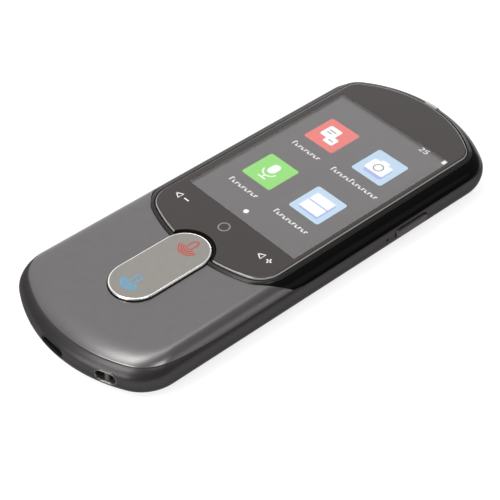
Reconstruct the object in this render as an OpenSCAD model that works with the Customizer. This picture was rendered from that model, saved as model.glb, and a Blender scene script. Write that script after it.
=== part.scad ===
// Handheld translator: a flat pocket device with a screen under a cover glass,
// a two-way talk rocker, a side key, a charging socket and a lanyard eyelet.
// X runs across the body, Y towards the top end and Z out of the screen.
// The origin lies on the back face, below the middle of the body.

/* [Body] */
// Width across the waist
body_w = 60.4; // [59.6:0.2:63]
// Length from end to end
body_l = 148.4; // [146:0.4:156]
// Thickness from the back face to the top of the glass
body_t = 12.4; // [12.2:0.1:13.6]
// Radius of the long arc that closes the bottom end
bottom_arc_r = 48; // [44:1:60]
// Radius of the corners at the bottom end
bottom_corner_r = 13.4; // [12:0.2:16]
// Radius of the long arc that closes the top end
top_arc_r = 44.5; // [42:0.5:58]
// Radius of the corners at the top end
top_corner_r = 12.6; // [11:0.2:15]
// Height of the waist, where the body is widest
waist_z = 6.2; // [5.8:0.1:6.8]
// Width of the shoulder that rounds the front
shoulder_w = 6; // [5:0.2:6.6]
// Width of the curve that rounds the back
belly_w = 6; // [5:0.2:6.6]
// How much wider the shoulder is at the bottom end than at the sides
bottom_ease = 1.7; // [1.2:0.1:2]

/* [Covers] */
// Wall of the rear cover
wall = 1.4; // [1.2:0.1:1.6]
// Floor of the rear cover
floor_t = 1.5; // [1.2:0.1:1.8]
// Skin of the front cover and the bezel
skin_t = 1.4; // [1.2:0.05:1.45]
// How far the front cover's flat lies below the glass
cover_drop = 0.95; // [0.8:0.05:1.1]
// Height of the seam between the front cover and the rear cover
seam_z = 9.2; // [9:0.1:9.5]
// How much lower the rear cover's edge is beside the bezel
bezel_step = 0.8; // [0.5:0.1:1]
// Depth of the lip that the front parts reach into the rear cover
lip_h = 1; // [0.6:0.1:1.2]
// How far the lip's root reaches up into the front part
lip_root = 0.6; // [0.5:0.1:0.7]
// Thickness of that lip
lip_t = 0.8; // [0.6:0.1:1]
// Clearance between the lip and the rear cover's wall
lip_gap = 0.15; // [0.13:0.01:0.2]

/* [Bezel and glass] */
// Distance from the body's side to the glass
glass_side = 5.6; // [5.4:0.1:6.4]
// Distance from the body's top end to the glass
glass_end = 4.7; // [4.6:0.1:5.4]
// How far above the rocker's middle the glass would end without its notch
glass_over = 11; // [10.6:0.1:11.4]
// Radius of the glass's long arc at the bottom
glass_bottom_arc_r = 55; // [50:1:60]
// Radius of the glass's corners at the bottom
glass_bottom_corner_r = 7.7; // [6:0.1:9]
// Radius of the glass's long arc at the top
glass_top_arc_r = 37.5; // [36:0.5:42]
// Radius of the glass's corners at the top
glass_top_corner_r = 5.8; // [5:0.1:7]
// Thickness of the glass
glass_t = 1.1; // [0.9:0.05:1.15]
// Groove between the glass and the bezel
glass_gap = 0.3; // [0.2:0.05:0.4]
// Width of the bezel's raised rim
rim_w = 1.15; // [1:0.05:1.3]
// How far the rim's top lies below the glass
rim_drop = 0.4; // [0.3:0.05:0.5]
// Wall of the bezel between the glass and the rocker
notch_wall = 0.65; // [0.5:0.05:0.8]
// How far above the glass's bottom end the seam steps down beside the bezel
step_up = 14.6; // [14:0.1:15]
// Radius of the bezel's edge where it runs down the shoulder
sweep_r = 20; // [18:1:22]

/* [Display] */
// Border of the glass beside the display panel
panel_side = 1.3; // [1.2:0.1:1.8]
// Border of the glass below the display panel
panel_low = 16; // [15:0.5:18]
// Border of the glass above the display panel
panel_high = 13.2; // [13:0.2:16]
// Thickness of the display panel
panel_t = 1.2; // [1:0.1:1.4]
// Clearance round the display panel
panel_gap = 0.3; // [0.2:0.05:0.35]
// Thickness of the adhesive under the glass
adhesive_t = 0.2; // [0.1:0.05:0.3]
// How far the adhesive stays inside the glass's edge
adhesive_in = 0.2; // [0.1:0.05:0.3]
// Thickness of the foam under the display
foam_t = 0.2; // [0.1:0.05:0.3]
// Width of that foam's frame
foam_w = 3; // [2:0.5:5]
// Width of the display's tail
tail_w = 12; // [10:0.5:14]
// Distance from the display to its tail
tail_out = 0.6; // [0.5:0.05:0.8]
// Reach of the tail over its connector
tail_l = 3.6; // [3.2:0.1:4]
// Drop of the tail's root below the panel
tail_drop = 1; // [0.8:0.1:1.4]
// Width of the display's connector
connector_w = 14; // [12:0.5:16]
// Length of the display's connector
connector_l = 2.6; // [2.2:0.1:2.7]
// Height of the display's connector
connector_h = 0.9; // [0.7:0.05:1]
// Thickness of the flexible films
film_t = 0.2; // [0.1:0.05:0.24]

/* [Rocker] */
// Radius of the rocker key's round ends
rocker_r = 7.75; // [7.5:0.05:7.9]
// Distance between the centres of its round ends
rocker_span = 16.9; // [16:0.1:17.4]
// Distance from the body's bottom end to the rocker's middle
rocker_end = 37.5; // [37:0.1:38]
// How far the rocker's top lies below the glass
rocker_drop = 0.05; // [0:0.05:0.2]
// Gap round the rocker key
rocker_gap = 0.3; // [0.25:0.05:0.35]
// How far the rocker's flange reaches past the key
flange_w = 0.9; // [0.7:0.05:1]
// Thickness of that flange
flange_t = 0.8; // [0.6:0.05:0.9]
// Room over the flange for the rocker to tilt
flange_room = 0.6; // [0.55:0.05:0.7]
// Tilt of the rocker to either side, in degrees
rocker_tilt = 1.4; // [1:0.1:1.4]
// Radius of the rocker's stub axles
axle_r = 0.6; // [0.45:0.05:0.65]
// Running clearance of the axles in their bearings
axle_play = 0.05; // [0.03:0.01:0.08]
// Length of each stub axle past the flange
axle_l = 2.2; // [1.8:0.1:2.4]
// Width of the rocker's bearings
bearing_w = 3.6; // [3:0.2:4]
// Wall of the bearings under the axle
bearing_wall = 0.7; // [0.5:0.05:0.8]
// Gap between the flange and the bearings
bearing_gap = 0.4; // [0.3:0.05:0.5]
// How far inside the rocker the switch board ends
rocker_board_in = 1.5; // [1:0.1:2]
// Distance of each talk switch from the axles
switch_arm = 11; // [10:0.5:12]
// Radius of a talk switch
switch_r = 2.2; // [2:0.1:2.6]
// Height of a talk switch
switch_h = 0.4; // [0.3:0.05:0.45]
// Radius of the nubs that press the talk switches
nub_r = 1.3; // [1:0.1:1.4]
// Gap between a nub and its switch at rest
press_gap = 0.33; // [0.32:0.01:0.36]
// Thickness of the talk switch board
rocker_board_t = 0.4; // [0.3:0.05:0.45]

/* [Side key] */
// Distance from the body's top end to the side key's middle
key_end = 43.3; // [42:0.1:44]
// Length of the side key
key_l = 12.6; // [11:0.2:13]
// Height of the side key
key_h = 2.4; // [2:0.1:2.6]
// How far the side key stands out of the body
key_proud = 0.45; // [0.42:0.02:0.6]
// Travel of the side key
key_travel = 0.4; // [0.3:0.05:0.4]
// Gap round the side key
key_gap = 0.15; // [0.1:0.05:0.2]
// How far its flange reaches past the key
key_flange_w = 0.6; // [0.5:0.1:0.8]
// Thickness of that flange
key_flange_t = 0.7; // [0.5:0.1:0.8]
// Gap between that flange and the wall it rests behind
key_flange_gap = 0.1; // [0.05:0.05:0.2]
// Length of the side switch along the body
side_switch_l = 4.8; // [4:0.2:5.2]
// Width of the side switch
side_switch_w = 3; // [2.6:0.1:3.4]
// Height of the side switch
side_switch_h = 1.5; // [1.4:0.1:1.7]
// Engagement of the plunger in the side switch
plunger_in = 1.2; // [1:0.1:1.4]
// Radius of the side switch's plunger
plunger_r = 0.5; // [0.4:0.05:0.55]
// Running clearance of that plunger
plunger_play = 0.05; // [0.03:0.01:0.08]
// Distance of the microphone's sound hole from the side key's middle
pinhole_dy = 9.6; // [9:0.1:10]
// Radius of the sound holes
pinhole_r = 0.45; // [0.3:0.05:0.5]

/* [Socket and eyelet] */
// Width of the charging socket's shell
usb_w = 8.94; // [8.9:0.01:9]
// Height of the charging socket's shell
usb_h = 3.16; // [3.1:0.01:3.2]
// Depth of the charging socket
usb_depth = 7.3; // [6.8:0.1:7.6]
// Sheet of the charging socket's shell
usb_sheet = 0.3; // [0.2:0.05:0.35]
// Width of the socket's tongue
usb_tongue_w = 6.7; // [6.4:0.05:6.8]
// Length of the socket's tongue
usb_tongue_l = 5.3; // [4.8:0.1:5.6]
// Back wall of the charging socket
usb_back_t = 0.8; // [0.6:0.1:1]
// Thickness of the socket's tongue
usb_tongue_t = 0.7; // [0.6:0.05:0.8]
// How deep the socket's mouth sits behind the body's end
usb_in = 0.5; // [0.3:0.1:0.6]
// Clearance round the shell in the rear cover
usb_gap = 0.15; // [0.1:0.05:0.2]
// Width of the lanyard eyelet
eyelet_w = 7; // [6.4:0.1:7.2]
// Height of the lanyard eyelet
eyelet_h = 4.2; // [3.8:0.1:4.4]
// Wall of the eyelet insert
eyelet_wall = 0.5; // [0.4:0.05:0.6]
// Depth of the eyelet insert
eyelet_depth = 4.2; // [3.8:0.1:4.6]
// Radius of the lanyard post
post_r = 0.75; // [0.6:0.05:0.9]
// How deep the eyelet's rim sits behind the body's end
eyelet_in = 0.25; // [0.1:0.05:0.4]
// Distance of the post from the mouth of the eyelet
post_depth = 1.5; // [1.2:0.1:1.8]
// Distance from the body's side to the eyelet on the bottom end
eyelet_side = 11.8; // [11.4:0.2:12.8]

/* [Inside] */
// Room between the battery's sides and the screw bosses
battery_side = 1.3; // [0.8:0.1:2]
// Room at both ends of the battery
battery_end_gap = 1.2; // [1:0.1:2]
// Thickness of the battery
battery_t = 4.3; // [4:0.1:4.4]
// Thickness of the pad under the battery
pad_t = 0.2; // [0.1:0.05:0.3]
// How far the pad stays inside the battery's edges
pad_in = 3; // [2:0.5:5]
// Room between the battery and the chassis
battery_room = 0.25; // [0.2:0.05:0.4]
// Thickness of the chassis plate
chassis_t = 1; // [0.8:0.1:1.1]
// Gap round the chassis plate
chassis_gap = 0.5; // [0.45:0.05:0.6]
// Thickness of the main board
board_t = 1; // [0.8:0.1:1]
// Length of the main board
board_l = 52.2; // [51:0.2:53]
// How far the main board stays inside the wall
board_in = 3.2; // [2.8:0.1:3.6]
// Height of the shield cans
can_h = 1.6; // [1.2:0.1:1.8]
// Length of the shield cans
can_l = 18; // [15:0.5:20]
// Gap between the shield cans
can_gap = 3; // [2:0.5:4]
// Sheet of the shield cans
can_sheet = 0.3; // [0.2:0.05:0.4]
// Length of a microphone
mic_l = 3; // [2.6:0.1:3.2]
// Width of a microphone
mic_w = 2.4; // [2:0.1:2.6]
// Height of a microphone
mic_h = 1.1; // [0.9:0.1:1.2]
// Gap between the lower microphone and the bottom wall
mic_gap = 0.492; // [0.4:0.002:0.6]
// Thickness of the socket board
io_board_t = 0.8; // [0.6:0.1:1]
// Distance from the body's side to the socket board
io_side = 17.2; // [16.8:0.2:18]
// Distance from the socket board's edges to its screws
io_screw_in = 2; // [2:0.1:2.4]
// Length of the socket board
io_l = 15; // [14:0.5:16]
// How far the socket board stays inside the wall
io_in = 1.1; // [1:0.05:1.3]
// Width of the speaker box
speaker_w = 34; // [30:0.5:36]
// Length of the speaker box
speaker_l = 20; // [18:0.5:20.5]
// Distance from the socket board to the speaker box
speaker_gap = 9.4; // [8.8:0.2:10]
// Wall of the speaker box
speaker_wall = 0.9; // [0.7:0.1:1.1]
// Distance between the holes of the speaker's grille
grille_pitch = 3; // [2.4:0.1:3.4]
// Radius of the holes of the speaker's grille
grille_r = 0.7; // [0.5:0.05:0.9]
// Width of the ribbon that joins the boards
link_w = 8; // [6:0.5:10]
// Width of the antenna
antenna_w = 30; // [26:0.5:31]
// Length of the antenna
antenna_l = 4.7; // [4:0.1:5]
// Radius of the vibration motor
motor_r = 4; // [3.5:0.1:4.2]
// Height of the vibration motor
motor_h = 2.6; // [2.2:0.1:2.8]
// Distance from the body's side to the motor's middle
motor_side = 11.8; // [11.6:0.1:12.4]
// Rows and columns of that grille to each side of its middle
grille_counts = [3, 1]; // [1:1:4]
// Clearance of the cut-outs in the chassis and the boards
slot_gap = 0.4; // [0.3:0.05:0.5]
// Clearance of the screws in their bosses
screw_play = 0.05; // [0.03:0.01:0.08]
// Radius of a screw's shank
screw_r = 0.6; // [0.5:0.05:0.7]
// Radius of a screw's head
screw_head_r = 1.3; // [1.1:0.05:1.4]
// Height of a screw's head
screw_head_h = 0.6; // [0.5:0.05:0.8]
// Length of a screw's shank
screw_l = 3.6; // [3:0.1:4]
// Radius of the screw bosses
boss_r = 1.9; // [1.7:0.05:2]
// Depth of the bosses' roots in the floor
boss_root = 0.3; // [0.2:0.05:0.5]
// Room under the tip of a screw
pilot_room = 0.3; // [0.2:0.05:0.4]
// Length of a socket board screw's shank
io_screw_l = 2; // [1.6:0.1:2.2]
// Distance from the body's side to the screws
screw_in = 5.5; // [5.3:0.1:5.8]
// Distance from the body's bottom end to the lowest screws
low_screw_end = 18.2; // [17.6:0.2:19]
// Distance from the battery's lower end to the second screws
second_screw_in = 15.8; // [14:0.2:18]
// Distance from the main board to the third screws
third_screw_gap = 3.4; // [3:0.1:4]
// Distance from the body's top end to the highest screws
top_screw_end = 28.2; // [27:0.2:29]

/* [Camera] */
// Distance from the body's top end to the camera's middle
camera_end = 24.2; // [23.8:0.2:25]
// Width of the camera's housing
camera_w = 8; // [7:0.2:8.4]
// Radius of the camera's lens barrel
barrel_r = 2.6; // [2:0.1:3]
// Clearance round the lens barrel
barrel_gap = 0.2; // [0.1:0.05:0.3]
// Height of the lens barrel
barrel_h = 0.6; // [0.4:0.1:0.8]
// Thickness of the camera's window
window_t = 0.8; // [0.6:0.1:0.9]
// How deep the camera's window sits in the back
window_in = 0.3; // [0.2:0.05:0.4]
// Radius of the camera's trim ring
camera_r = 4.6; // [4.2:0.1:5]
// Width of that ring
camera_ring_w = 0.8; // [0.6:0.05:1]
// How deep that ring sits in the back
ring_in = 0.05; // [0:0.01:0.1]
// Distance between the camera and the flash
flash_dx = 11; // [10:0.5:12]
// Radius of the flash lens
flash_r = 1.8; // [1.5:0.1:2]
// Width of the flash lamp
flash_w = 3; // [2.4:0.1:3.2]

/* [Status light] */
// Width of the light guide
guide_w = 4.6; // [4:0.1:6]
// Reach of the light guide past the rim
guide_run = 1.2; // [1:0.1:1.4]
// Drop of the light guide's outer end below the front cover's flat
guide_drop = 1.2; // [1:0.1:1.4]

/* [Hidden] */
$fn = 48;

// Heights of the stack, from the back face upwards
cover_top = body_t - cover_drop;
cover_under = cover_top - skin_t;
bezel_seam = seam_z - bezel_step;
rim_top = body_t - rim_drop;
glass_z = body_t - glass_t;
shelf_z = glass_z - adhesive_t;
panel_z = shelf_z - panel_t;
battery_z = floor_t + pad_t;
battery_top = battery_z + battery_t;
chassis_z = battery_top + battery_room;
chassis_top = chassis_z + chassis_t;
foam_top = chassis_top + foam_t;
board_z = chassis_z - board_t;
flange_top = cover_under - flange_room;
flange_z = flange_top - flange_t;
axle_z = flange_z + flange_t / 2;
switch_top = chassis_top + rocker_board_t + switch_h;
rocker_top = body_t - rocker_drop;
io_top = waist_z - usb_h / 2;
io_z = io_top - io_board_t;

// Places along and across the body
top_y = body_l / 2;
bottom_y = -body_l / 2;
side_x = body_w / 2;
rocker_y = bottom_y + rocker_end;
glass_half_w = side_x - glass_side;
eyelet_x = side_x - eyelet_side;
glass_top = top_y - glass_end;
glass_bottom = rocker_y + glass_over;
rim_out = glass_gap + rim_w;
step_y = glass_bottom + step_up;
panel_x = glass_half_w - panel_side;
panel_y0 = glass_bottom + panel_low;
panel_y1 = glass_top - panel_high;
tail_y = panel_y1 + tail_out;
connector_top = chassis_z + connector_h;
connector_y = tail_y + tail_l - connector_l - film_t;
io_y = bottom_y + 2 * wall;
usb_mouth = bottom_y + usb_in;
usb_back = usb_mouth + usb_depth - usb_back_t;
io_half_w = side_x - io_side;
io_screw_x = io_half_w - io_screw_in;
io_screw_y = io_y + io_l - io_screw_in;
speaker_y = io_y + io_l + speaker_gap;
grille_y = speaker_y + speaker_l / 2;
board_y = top_y - wall - board_in - board_l;
battery_y = speaker_y + speaker_l + battery_end_gap;
battery_y1 = board_y - battery_end_gap;
screw_x = side_x - screw_in;
battery_x = screw_x - boss_r - battery_side;
key_y = top_y - key_end;
camera_y = top_y - camera_end;
screw_ys = [bottom_y + low_screw_end, battery_y + second_screw_in,
    board_y - third_screw_gap, top_y - top_screw_end];
motor_y = io_y + io_l + speaker_gap / 2;
key_flange_x = side_x - wall - key_flange_gap;
key_cut_y = key_l / 2 + key_flange_w + slot_gap;
switch_x1 = key_flange_x - key_flange_t - key_travel - key_flange_gap;
switch_x0 = switch_x1 - side_switch_w;
plunger_z = chassis_z + side_switch_h / 2;
bearing_x = rocker_r + flange_w + bearing_gap;
eps = 0.01;

// Points of one half of a closed outline with arcs at both ends:
// half width w, bottom and top ends y0 and y1, arc radii A and corner radii c
ARC_STEPS = 5;
CORNER_STEPS = 6;
function corner_y(w, y, A, c, s) = y + s * (A - sqrt(pow(A - c, 2) - pow(w - c, 2)));
function turn(w, A, c) = asin((w - c) / (A - c));
function end_points(w, y, A, c, s) =
    let (a = turn(w, A, c), cy = corner_y(w, y, A, c, s))
    concat(
        [for (i = [0:ARC_STEPS]) let (t = a * i / ARC_STEPS) [A * sin(t), y + s * A * (1 - cos(t))]],
        [for (i = [1:CORNER_STEPS]) let (t = a + (90 - a) * i / CORNER_STEPS)
            [w - c + c * sin(t), cy - s * c * cos(t)]]);
function reverse(v) = [for (i = [len(v) - 1:-1:0]) v[i]];
function outline(w, y0, y1, A0, c0, A1, c1) =
    let (right = concat(end_points(w, y0, A0, c0, 1), reverse(end_points(w, y1, A1, c1, -1))),
         n = len(right))
    concat(right, [for (i = [n - 2:-1:1]) [-right[i][0], right[i][1]]]);

// Outline of the body, drawn in by ds at the sides, db at the bottom and dt at the top
function body_outline(ds, db, dt) = outline(side_x - ds, bottom_y + db, top_y - dt,
    bottom_arc_r - ds, bottom_corner_r - ds, top_arc_r - ds, top_corner_r - ds);
function glass_outline(grow) = outline(glass_half_w + grow, glass_bottom - grow, glass_top + grow,
    glass_bottom_arc_r + grow, glass_bottom_corner_r + grow,
    glass_top_arc_r + grow, glass_top_corner_r + grow);

// Rings of the rounded form: above the waist it draws in over the shoulder,
// below the waist over the belly, and an inner form lies one wall inside
function at_height(points, z) = [for (p = points) [p[0], p[1], z]];
function shoulder_ring(t, top, inset) =
    let (d = shoulder_w * (1 - cos(t)))
    at_height(body_outline(d + inset, bottom_ease * d + inset, d + inset),
        waist_z + (top - waist_z) * sin(t));
function belly_ring(t, base, inset) =
    let (d = belly_w * (1 - cos(t)))
    at_height(body_outline(d + inset, d + inset, d + inset), waist_z - (waist_z - base) * sin(t));
function shoulder_angle(z, top) = asin(min(1, (z - waist_z) / (top - waist_z)));
function shoulder_rings(z0, z1, top, inset, steps) =
    let (t0 = shoulder_angle(z0, top), t1 = shoulder_angle(z1, top))
    [for (i = [0:steps]) shoulder_ring(t0 + (t1 - t0) * i / steps, top, inset)];
function belly_rings(base, inset, steps) =
    [for (i = [steps:-1:1]) belly_ring(90 * i / steps, base, inset)];

// A closed solid through rings that have as many points each
module loft(rings) {
    n = len(rings[0]);
    m = len(rings);
    points = [for (r = rings) for (p = r) p];
    sides = [for (j = [0:m - 2]) for (i = [0:n - 1]) for (f = [0, 1])
        let (k = (i + 1) % n, a = j * n + i, b = j * n + k, c = a + n, d = b + n)
        f == 0 ? [a, c, b] : [b, c, d]];
    caps = [[for (i = [0:n - 1]) i], [for (i = [n - 1:-1:0]) (m - 1) * n + i]];
    polyhedron(points = points, faces = concat(sides, caps), convexity = 6);
}

module slab(points, z0, z1) {
    translate([0, 0, z0]) linear_extrude(z1 - z0) polygon(points);
}

module box(x0, x1, y0, y1, z0, z1) {
    translate([x0, y0, z0]) cube([x1 - x0, y1 - y0, z1 - z0]);
}

module disc(x, y, z0, z1, r) {
    translate([x, y, z0]) cylinder(h = z1 - z0, r = r);
}

// A long round-ended shape along Y, upright
module pill(y, span, r, z0, z1) {
    translate([0, y, z0]) linear_extrude(z1 - z0) union() {
        translate([0, -span / 2]) circle(r);
        translate([0, span / 2]) circle(r);
        square([2 * r, span], center = true);
    }
}

// A round-ended shape w wide and h high that lies flat and runs from y0 to y1
module flat_pill(w, h, y0, y1) {
    translate([0, y1, 0]) rotate([90, 0, 0]) linear_extrude(y1 - y0) union() {
        translate([(w - h) / 2, 0]) circle(h / 2);
        translate([(h - w) / 2, 0]) circle(h / 2);
        square([w - h, h], center = true);
    }
}

// The place of the eyelet: its mouth on the end's long arc, +Y pointing inwards
module at_eyelet() {
    translate([0, bottom_y + bottom_arc_r, waist_z]) rotate([0, 0, asin(eyelet_x / bottom_arc_r)])
        translate([0, -bottom_arc_r, 0]) children();
}

// The side key's shape grown by g, from x0 to x1
module key_shape(g, x0, x1) {
    translate([0, key_y, waist_z]) rotate([0, 0, 90]) flat_pill(key_l + 2 * g, key_h + 2 * g, -x1, -x0);
}

// The plan of the bezel: everything above its swept lower edge
function bezel_plan() =
    let (low = end_points(side_x + 1, glass_bottom - rim_out, glass_bottom_arc_r + rim_out, sweep_r, 1),
         n = len(low))
    concat(low, [[side_x + 1, top_y + 1], [-side_x - 1, top_y + 1]],
        [for (i = [n - 1:-1:1]) [-low[i][0], low[i][1]]]);

// The holes in front of the speaker
module grille(z0, z1) {
    for (i = [-grille_counts[0]:grille_counts[0]]) for (j = [-grille_counts[1]:grille_counts[1]])
        disc(grille_pitch * i, grille_y + grille_pitch * j, z0, z1, grille_r);
}

module screws(at, z, l) {
    for (p = at) {
        disc(p[0], p[1], z, z + screw_head_h, screw_head_r);
        disc(p[0], p[1], z - l, z, screw_r);
    }
}

function chassis_screw_places() = [for (y = screw_ys) for (s = [-1, 1]) [s * screw_x, y]];
function io_screw_places() = [for (s = [-1, 1]) [s * io_screw_x, io_screw_y]];

module rear_cover() {
    color([0.19, 0.19, 0.2]) difference() {
        union() {
            difference() {
                loft(concat(belly_rings(0, 0, 5), shoulder_rings(waist_z, seam_z, cover_top, 0, 2)));
                loft(concat(belly_rings(floor_t, wall, 4),
                    shoulder_rings(waist_z, cover_under - eps, cover_under, wall, 4)));
            }
            for (p = chassis_screw_places()) disc(p[0], p[1], floor_t - boss_root, chassis_z, boss_r);
            for (p = io_screw_places()) disc(p[0], p[1], floor_t - boss_root, io_z, boss_r);
        }
        box(-side_x - 1, side_x + 1, step_y, top_y + 1, bezel_seam, body_t);
        for (p = chassis_screw_places())
            disc(p[0], p[1], chassis_top - screw_l - pilot_room, chassis_z + 1, screw_r + screw_play);
        for (p = io_screw_places()) disc(p[0], p[1], floor_t, io_z + 1, screw_r + screw_play);
        translate([0, 0, waist_z]) flat_pill(usb_w + 2 * usb_gap, usb_h + 2 * usb_gap, bottom_y - 1, io_y);
        at_eyelet() flat_pill(eyelet_w, eyelet_h, -1, eyelet_depth);
        key_shape(key_gap, side_x - wall - 1, side_x + 1);
        key_shape(key_flange_w + key_gap, switch_x1, side_x - wall);
        translate([side_x - wall - 1, key_y - pinhole_dy, waist_z]) rotate([0, 90, 0])
            cylinder(h = wall + 2, r = pinhole_r);
        translate([-io_screw_x, bottom_y - 1, waist_z]) rotate([-90, 0, 0])
            cylinder(h = 2 * wall + 2, r = pinhole_r);
        disc(0, camera_y, -1, floor_t + 1, camera_r);
        disc(-flash_dx, camera_y, -1, floor_t + 1, flash_r);
        grille(-1, floor_t + 1);
    }
}

// A lip ring that hangs from a front part into the rear cover
module lip(z) {
    draw_in = shoulder_w * (1 - cos(shoulder_angle(z, cover_under)));
    d = wall + lip_gap + draw_in;
    db = wall + lip_gap + bottom_ease * draw_in;
    difference() {
        slab(body_outline(d, db, d), z - lip_h, z + lip_root);
        slab(body_outline(d + lip_t, db + lip_t, d + lip_t), z - lip_h - 1, z + lip_root + 1);
    }
}

module front_shell(z0) {
    difference() {
        loft(shoulder_rings(z0, cover_top, cover_top, 0, 5));
        translate([0, 0, -eps]) loft(shoulder_rings(z0, cover_under, cover_under, wall, 3));
    }
}

module front_cover() {
    color([0.47, 0.46, 0.46]) difference() {
        union() {
            front_shell(seam_z);
            lip(seam_z);
        }
        slab(bezel_plan(), bezel_seam - lip_h - 1, body_t);
        slab(glass_outline(rim_out), cover_under, body_t);
        pill(rocker_y, rocker_span, rocker_r + rocker_gap, cover_under - 1, body_t);
    }
}

module bezel_frame() {
    color([0.04, 0.04, 0.04]) difference() {
        union() {
            intersection() {
                union() {
                    front_shell(bezel_seam);
                    lip(bezel_seam);
                }
                difference() {
                    slab(bezel_plan(), bezel_seam - lip_h - 1, body_t);
                    box(-side_x - 1, side_x + 1, bottom_y, step_y, bezel_seam - lip_h - 1, seam_z);
                }
            }
            slab(glass_outline(rim_out), cover_under, rim_top);
        }
        difference() {
            slab(glass_outline(glass_gap), shelf_z, body_t);
            pill(rocker_y, rocker_span, rocker_r + rocker_gap + notch_wall, shelf_z - 1, body_t);
        }
        pill(rocker_y, rocker_span, rocker_r + rocker_gap, cover_under - 1, body_t);
        display_plate(cover_under - 1, body_t, panel_gap);
        key_room(switch_x0 - slot_gap);
        light_guide_shape();
    }
}

module cover_glass() {
    color([0.1, 0.1, 0.1]) difference() {
        slab(glass_outline(0), glass_z, body_t);
        pill(rocker_y, rocker_span, rocker_r + rocker_gap + notch_wall + glass_gap, glass_z - 1, body_t + 1);
    }
}

module glass_adhesive() {
    color([0.1, 0.1, 0.1]) difference() {
        slab(glass_outline(-adhesive_in), shelf_z, glass_z);
        pill(rocker_y, rocker_span, rocker_r + rocker_gap + notch_wall + glass_gap + adhesive_in,
            shelf_z - 1, body_t);
        display_plate(shelf_z - 1, body_t, panel_gap);
    }
}

module display_plate(z0, z1, grow) {
    box(-panel_x - grow, panel_x + grow, panel_y0 - grow, panel_y1 + grow, z0, z1);
}

module display_panel() {
    color([0.5, 0.5, 0.5]) display_plate(panel_z, shelf_z, 0);
}

module backlight_unit() {
    color([0.85, 0.85, 0.85]) display_plate(foam_top, panel_z, 0);
}

module display_foam() {
    color([0.12, 0.12, 0.12]) difference() {
        display_plate(chassis_top, foam_top, -panel_gap);
        display_plate(chassis_top - 1, foam_top + 1, -panel_gap - foam_w);
    }
}

// The display's flexible tail: out of the backlight, down and over its connector
module display_flex() {
    root_z = panel_z - tail_drop;
    end_y = tail_y + tail_l;
    color([0.75, 0.5, 0.2]) translate([-tail_w / 2, 0, 0])
        rotate([90, 0, 90]) linear_extrude(tail_w) polygon([
        [panel_y1, root_z], [tail_y + film_t, root_z], [tail_y + film_t, connector_top + film_t],
        [end_y, connector_top + film_t], [end_y, connector_top], [tail_y, connector_top],
        [tail_y, root_z - film_t], [panel_y1, root_z - film_t]]);
}

module display_connector() {
    color([0.9, 0.88, 0.8]) box(-connector_w / 2, connector_w / 2, connector_y, connector_y + connector_l,
        chassis_z, connector_top);
}

// Room for the side key's flange and its switch in the plates inside
module key_room(x0) {
    box(x0, side_x, key_y - key_cut_y, key_y + key_cut_y, board_z - 1, chassis_top + 1);
}

// Room for the eyelet insert in the plates inside
module eyelet_room() {
    at_eyelet() box(-eyelet_w / 2 - slot_gap, eyelet_w / 2 + slot_gap, -1, eyelet_depth + slot_gap,
        -waist_z, waist_z);
}

function chassis_outline() = body_outline(wall + chassis_gap, wall + chassis_gap, wall + chassis_gap);
module chassis() {
    color([0.6, 0.6, 0.62]) difference() {
        slab(chassis_outline(), chassis_z, chassis_top);
        for (p = chassis_screw_places())
            disc(p[0], p[1], chassis_z - 1, chassis_top + 1, screw_r + 2 * screw_play);
        box(-connector_w / 2 - slot_gap, connector_w / 2 + slot_gap,
            tail_y - slot_gap, tail_y + tail_l + slot_gap, chassis_z - 1, chassis_top + 1);
        box(-io_half_w, side_x, bottom_y, usb_mouth + usb_depth + slot_gap, chassis_z - 1, chassis_top + 1);
        eyelet_room();
        key_room(switch_x0 - slot_gap);
    }
}

module chassis_screws() {
    color([0.75, 0.75, 0.75]) screws(chassis_screw_places(), chassis_top, screw_l);
}

// The main board hangs under the chassis and carries the keys, the camera and the shield cans
function board_outline() = body_outline(wall + board_in, wall + board_in, wall + board_in);
module main_board() {
    color([0.05, 0.3, 0.15]) difference() {
        intersection() {
            slab(board_outline(), board_z, chassis_z);
            box(-side_x, side_x, board_y, top_y, board_z - 1, chassis_z + 1);
        }
        for (p = chassis_screw_places())
            disc(p[0], p[1], board_z - 1, chassis_z + 1, boss_r + slot_gap / 2);
        key_room(switch_x1);
    }
}

module shield_cans() {
    can_w = screw_x - boss_r - battery_side - can_gap / 2;
    color([0.7, 0.7, 0.72]) for (x = [-can_w - can_gap / 2, can_gap / 2]) difference() {
        box(x, x + can_w, board_y + can_gap, board_y + can_gap + can_l, board_z - can_h, board_z);
        box(x + can_sheet, x + can_w - can_sheet, board_y + can_gap + can_sheet,
            board_y + can_gap + can_l - can_sheet, board_z - can_h + can_sheet, board_z + 1);
    }
}

module side_microphone() {
    x1 = side_x - wall - board_in;
    y0 = key_y - pinhole_dy - mic_w / 2;
    color([0.8, 0.7, 0.4]) box(x1 - mic_l, x1, y0, y0 + mic_w, board_z - mic_h, board_z);
}

module battery() {
    color([0.25, 0.25, 0.28]) box(-battery_x, battery_x, battery_y, battery_y1, battery_z, battery_top);
}

module battery_pad() {
    color([0.9, 0.9, 0.85]) box(-battery_x + pad_in, battery_x - pad_in,
        battery_y + pad_in, battery_y1 - pad_in, floor_t, battery_z);
}

// The ribbon that joins the socket board to the main board over the battery
module link_flex() {
    low_y = io_y + io_l - boss_r;
    color([0.75, 0.5, 0.2]) translate([-link_w / 2, 0, 0])
        rotate([90, 0, 90]) linear_extrude(link_w) polygon([
        [low_y, io_top], [low_y + film_t, io_top], [low_y + film_t, battery_top],
        [board_y, battery_top], [board_y, battery_top + film_t], [low_y, battery_top + film_t]]);
}

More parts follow.
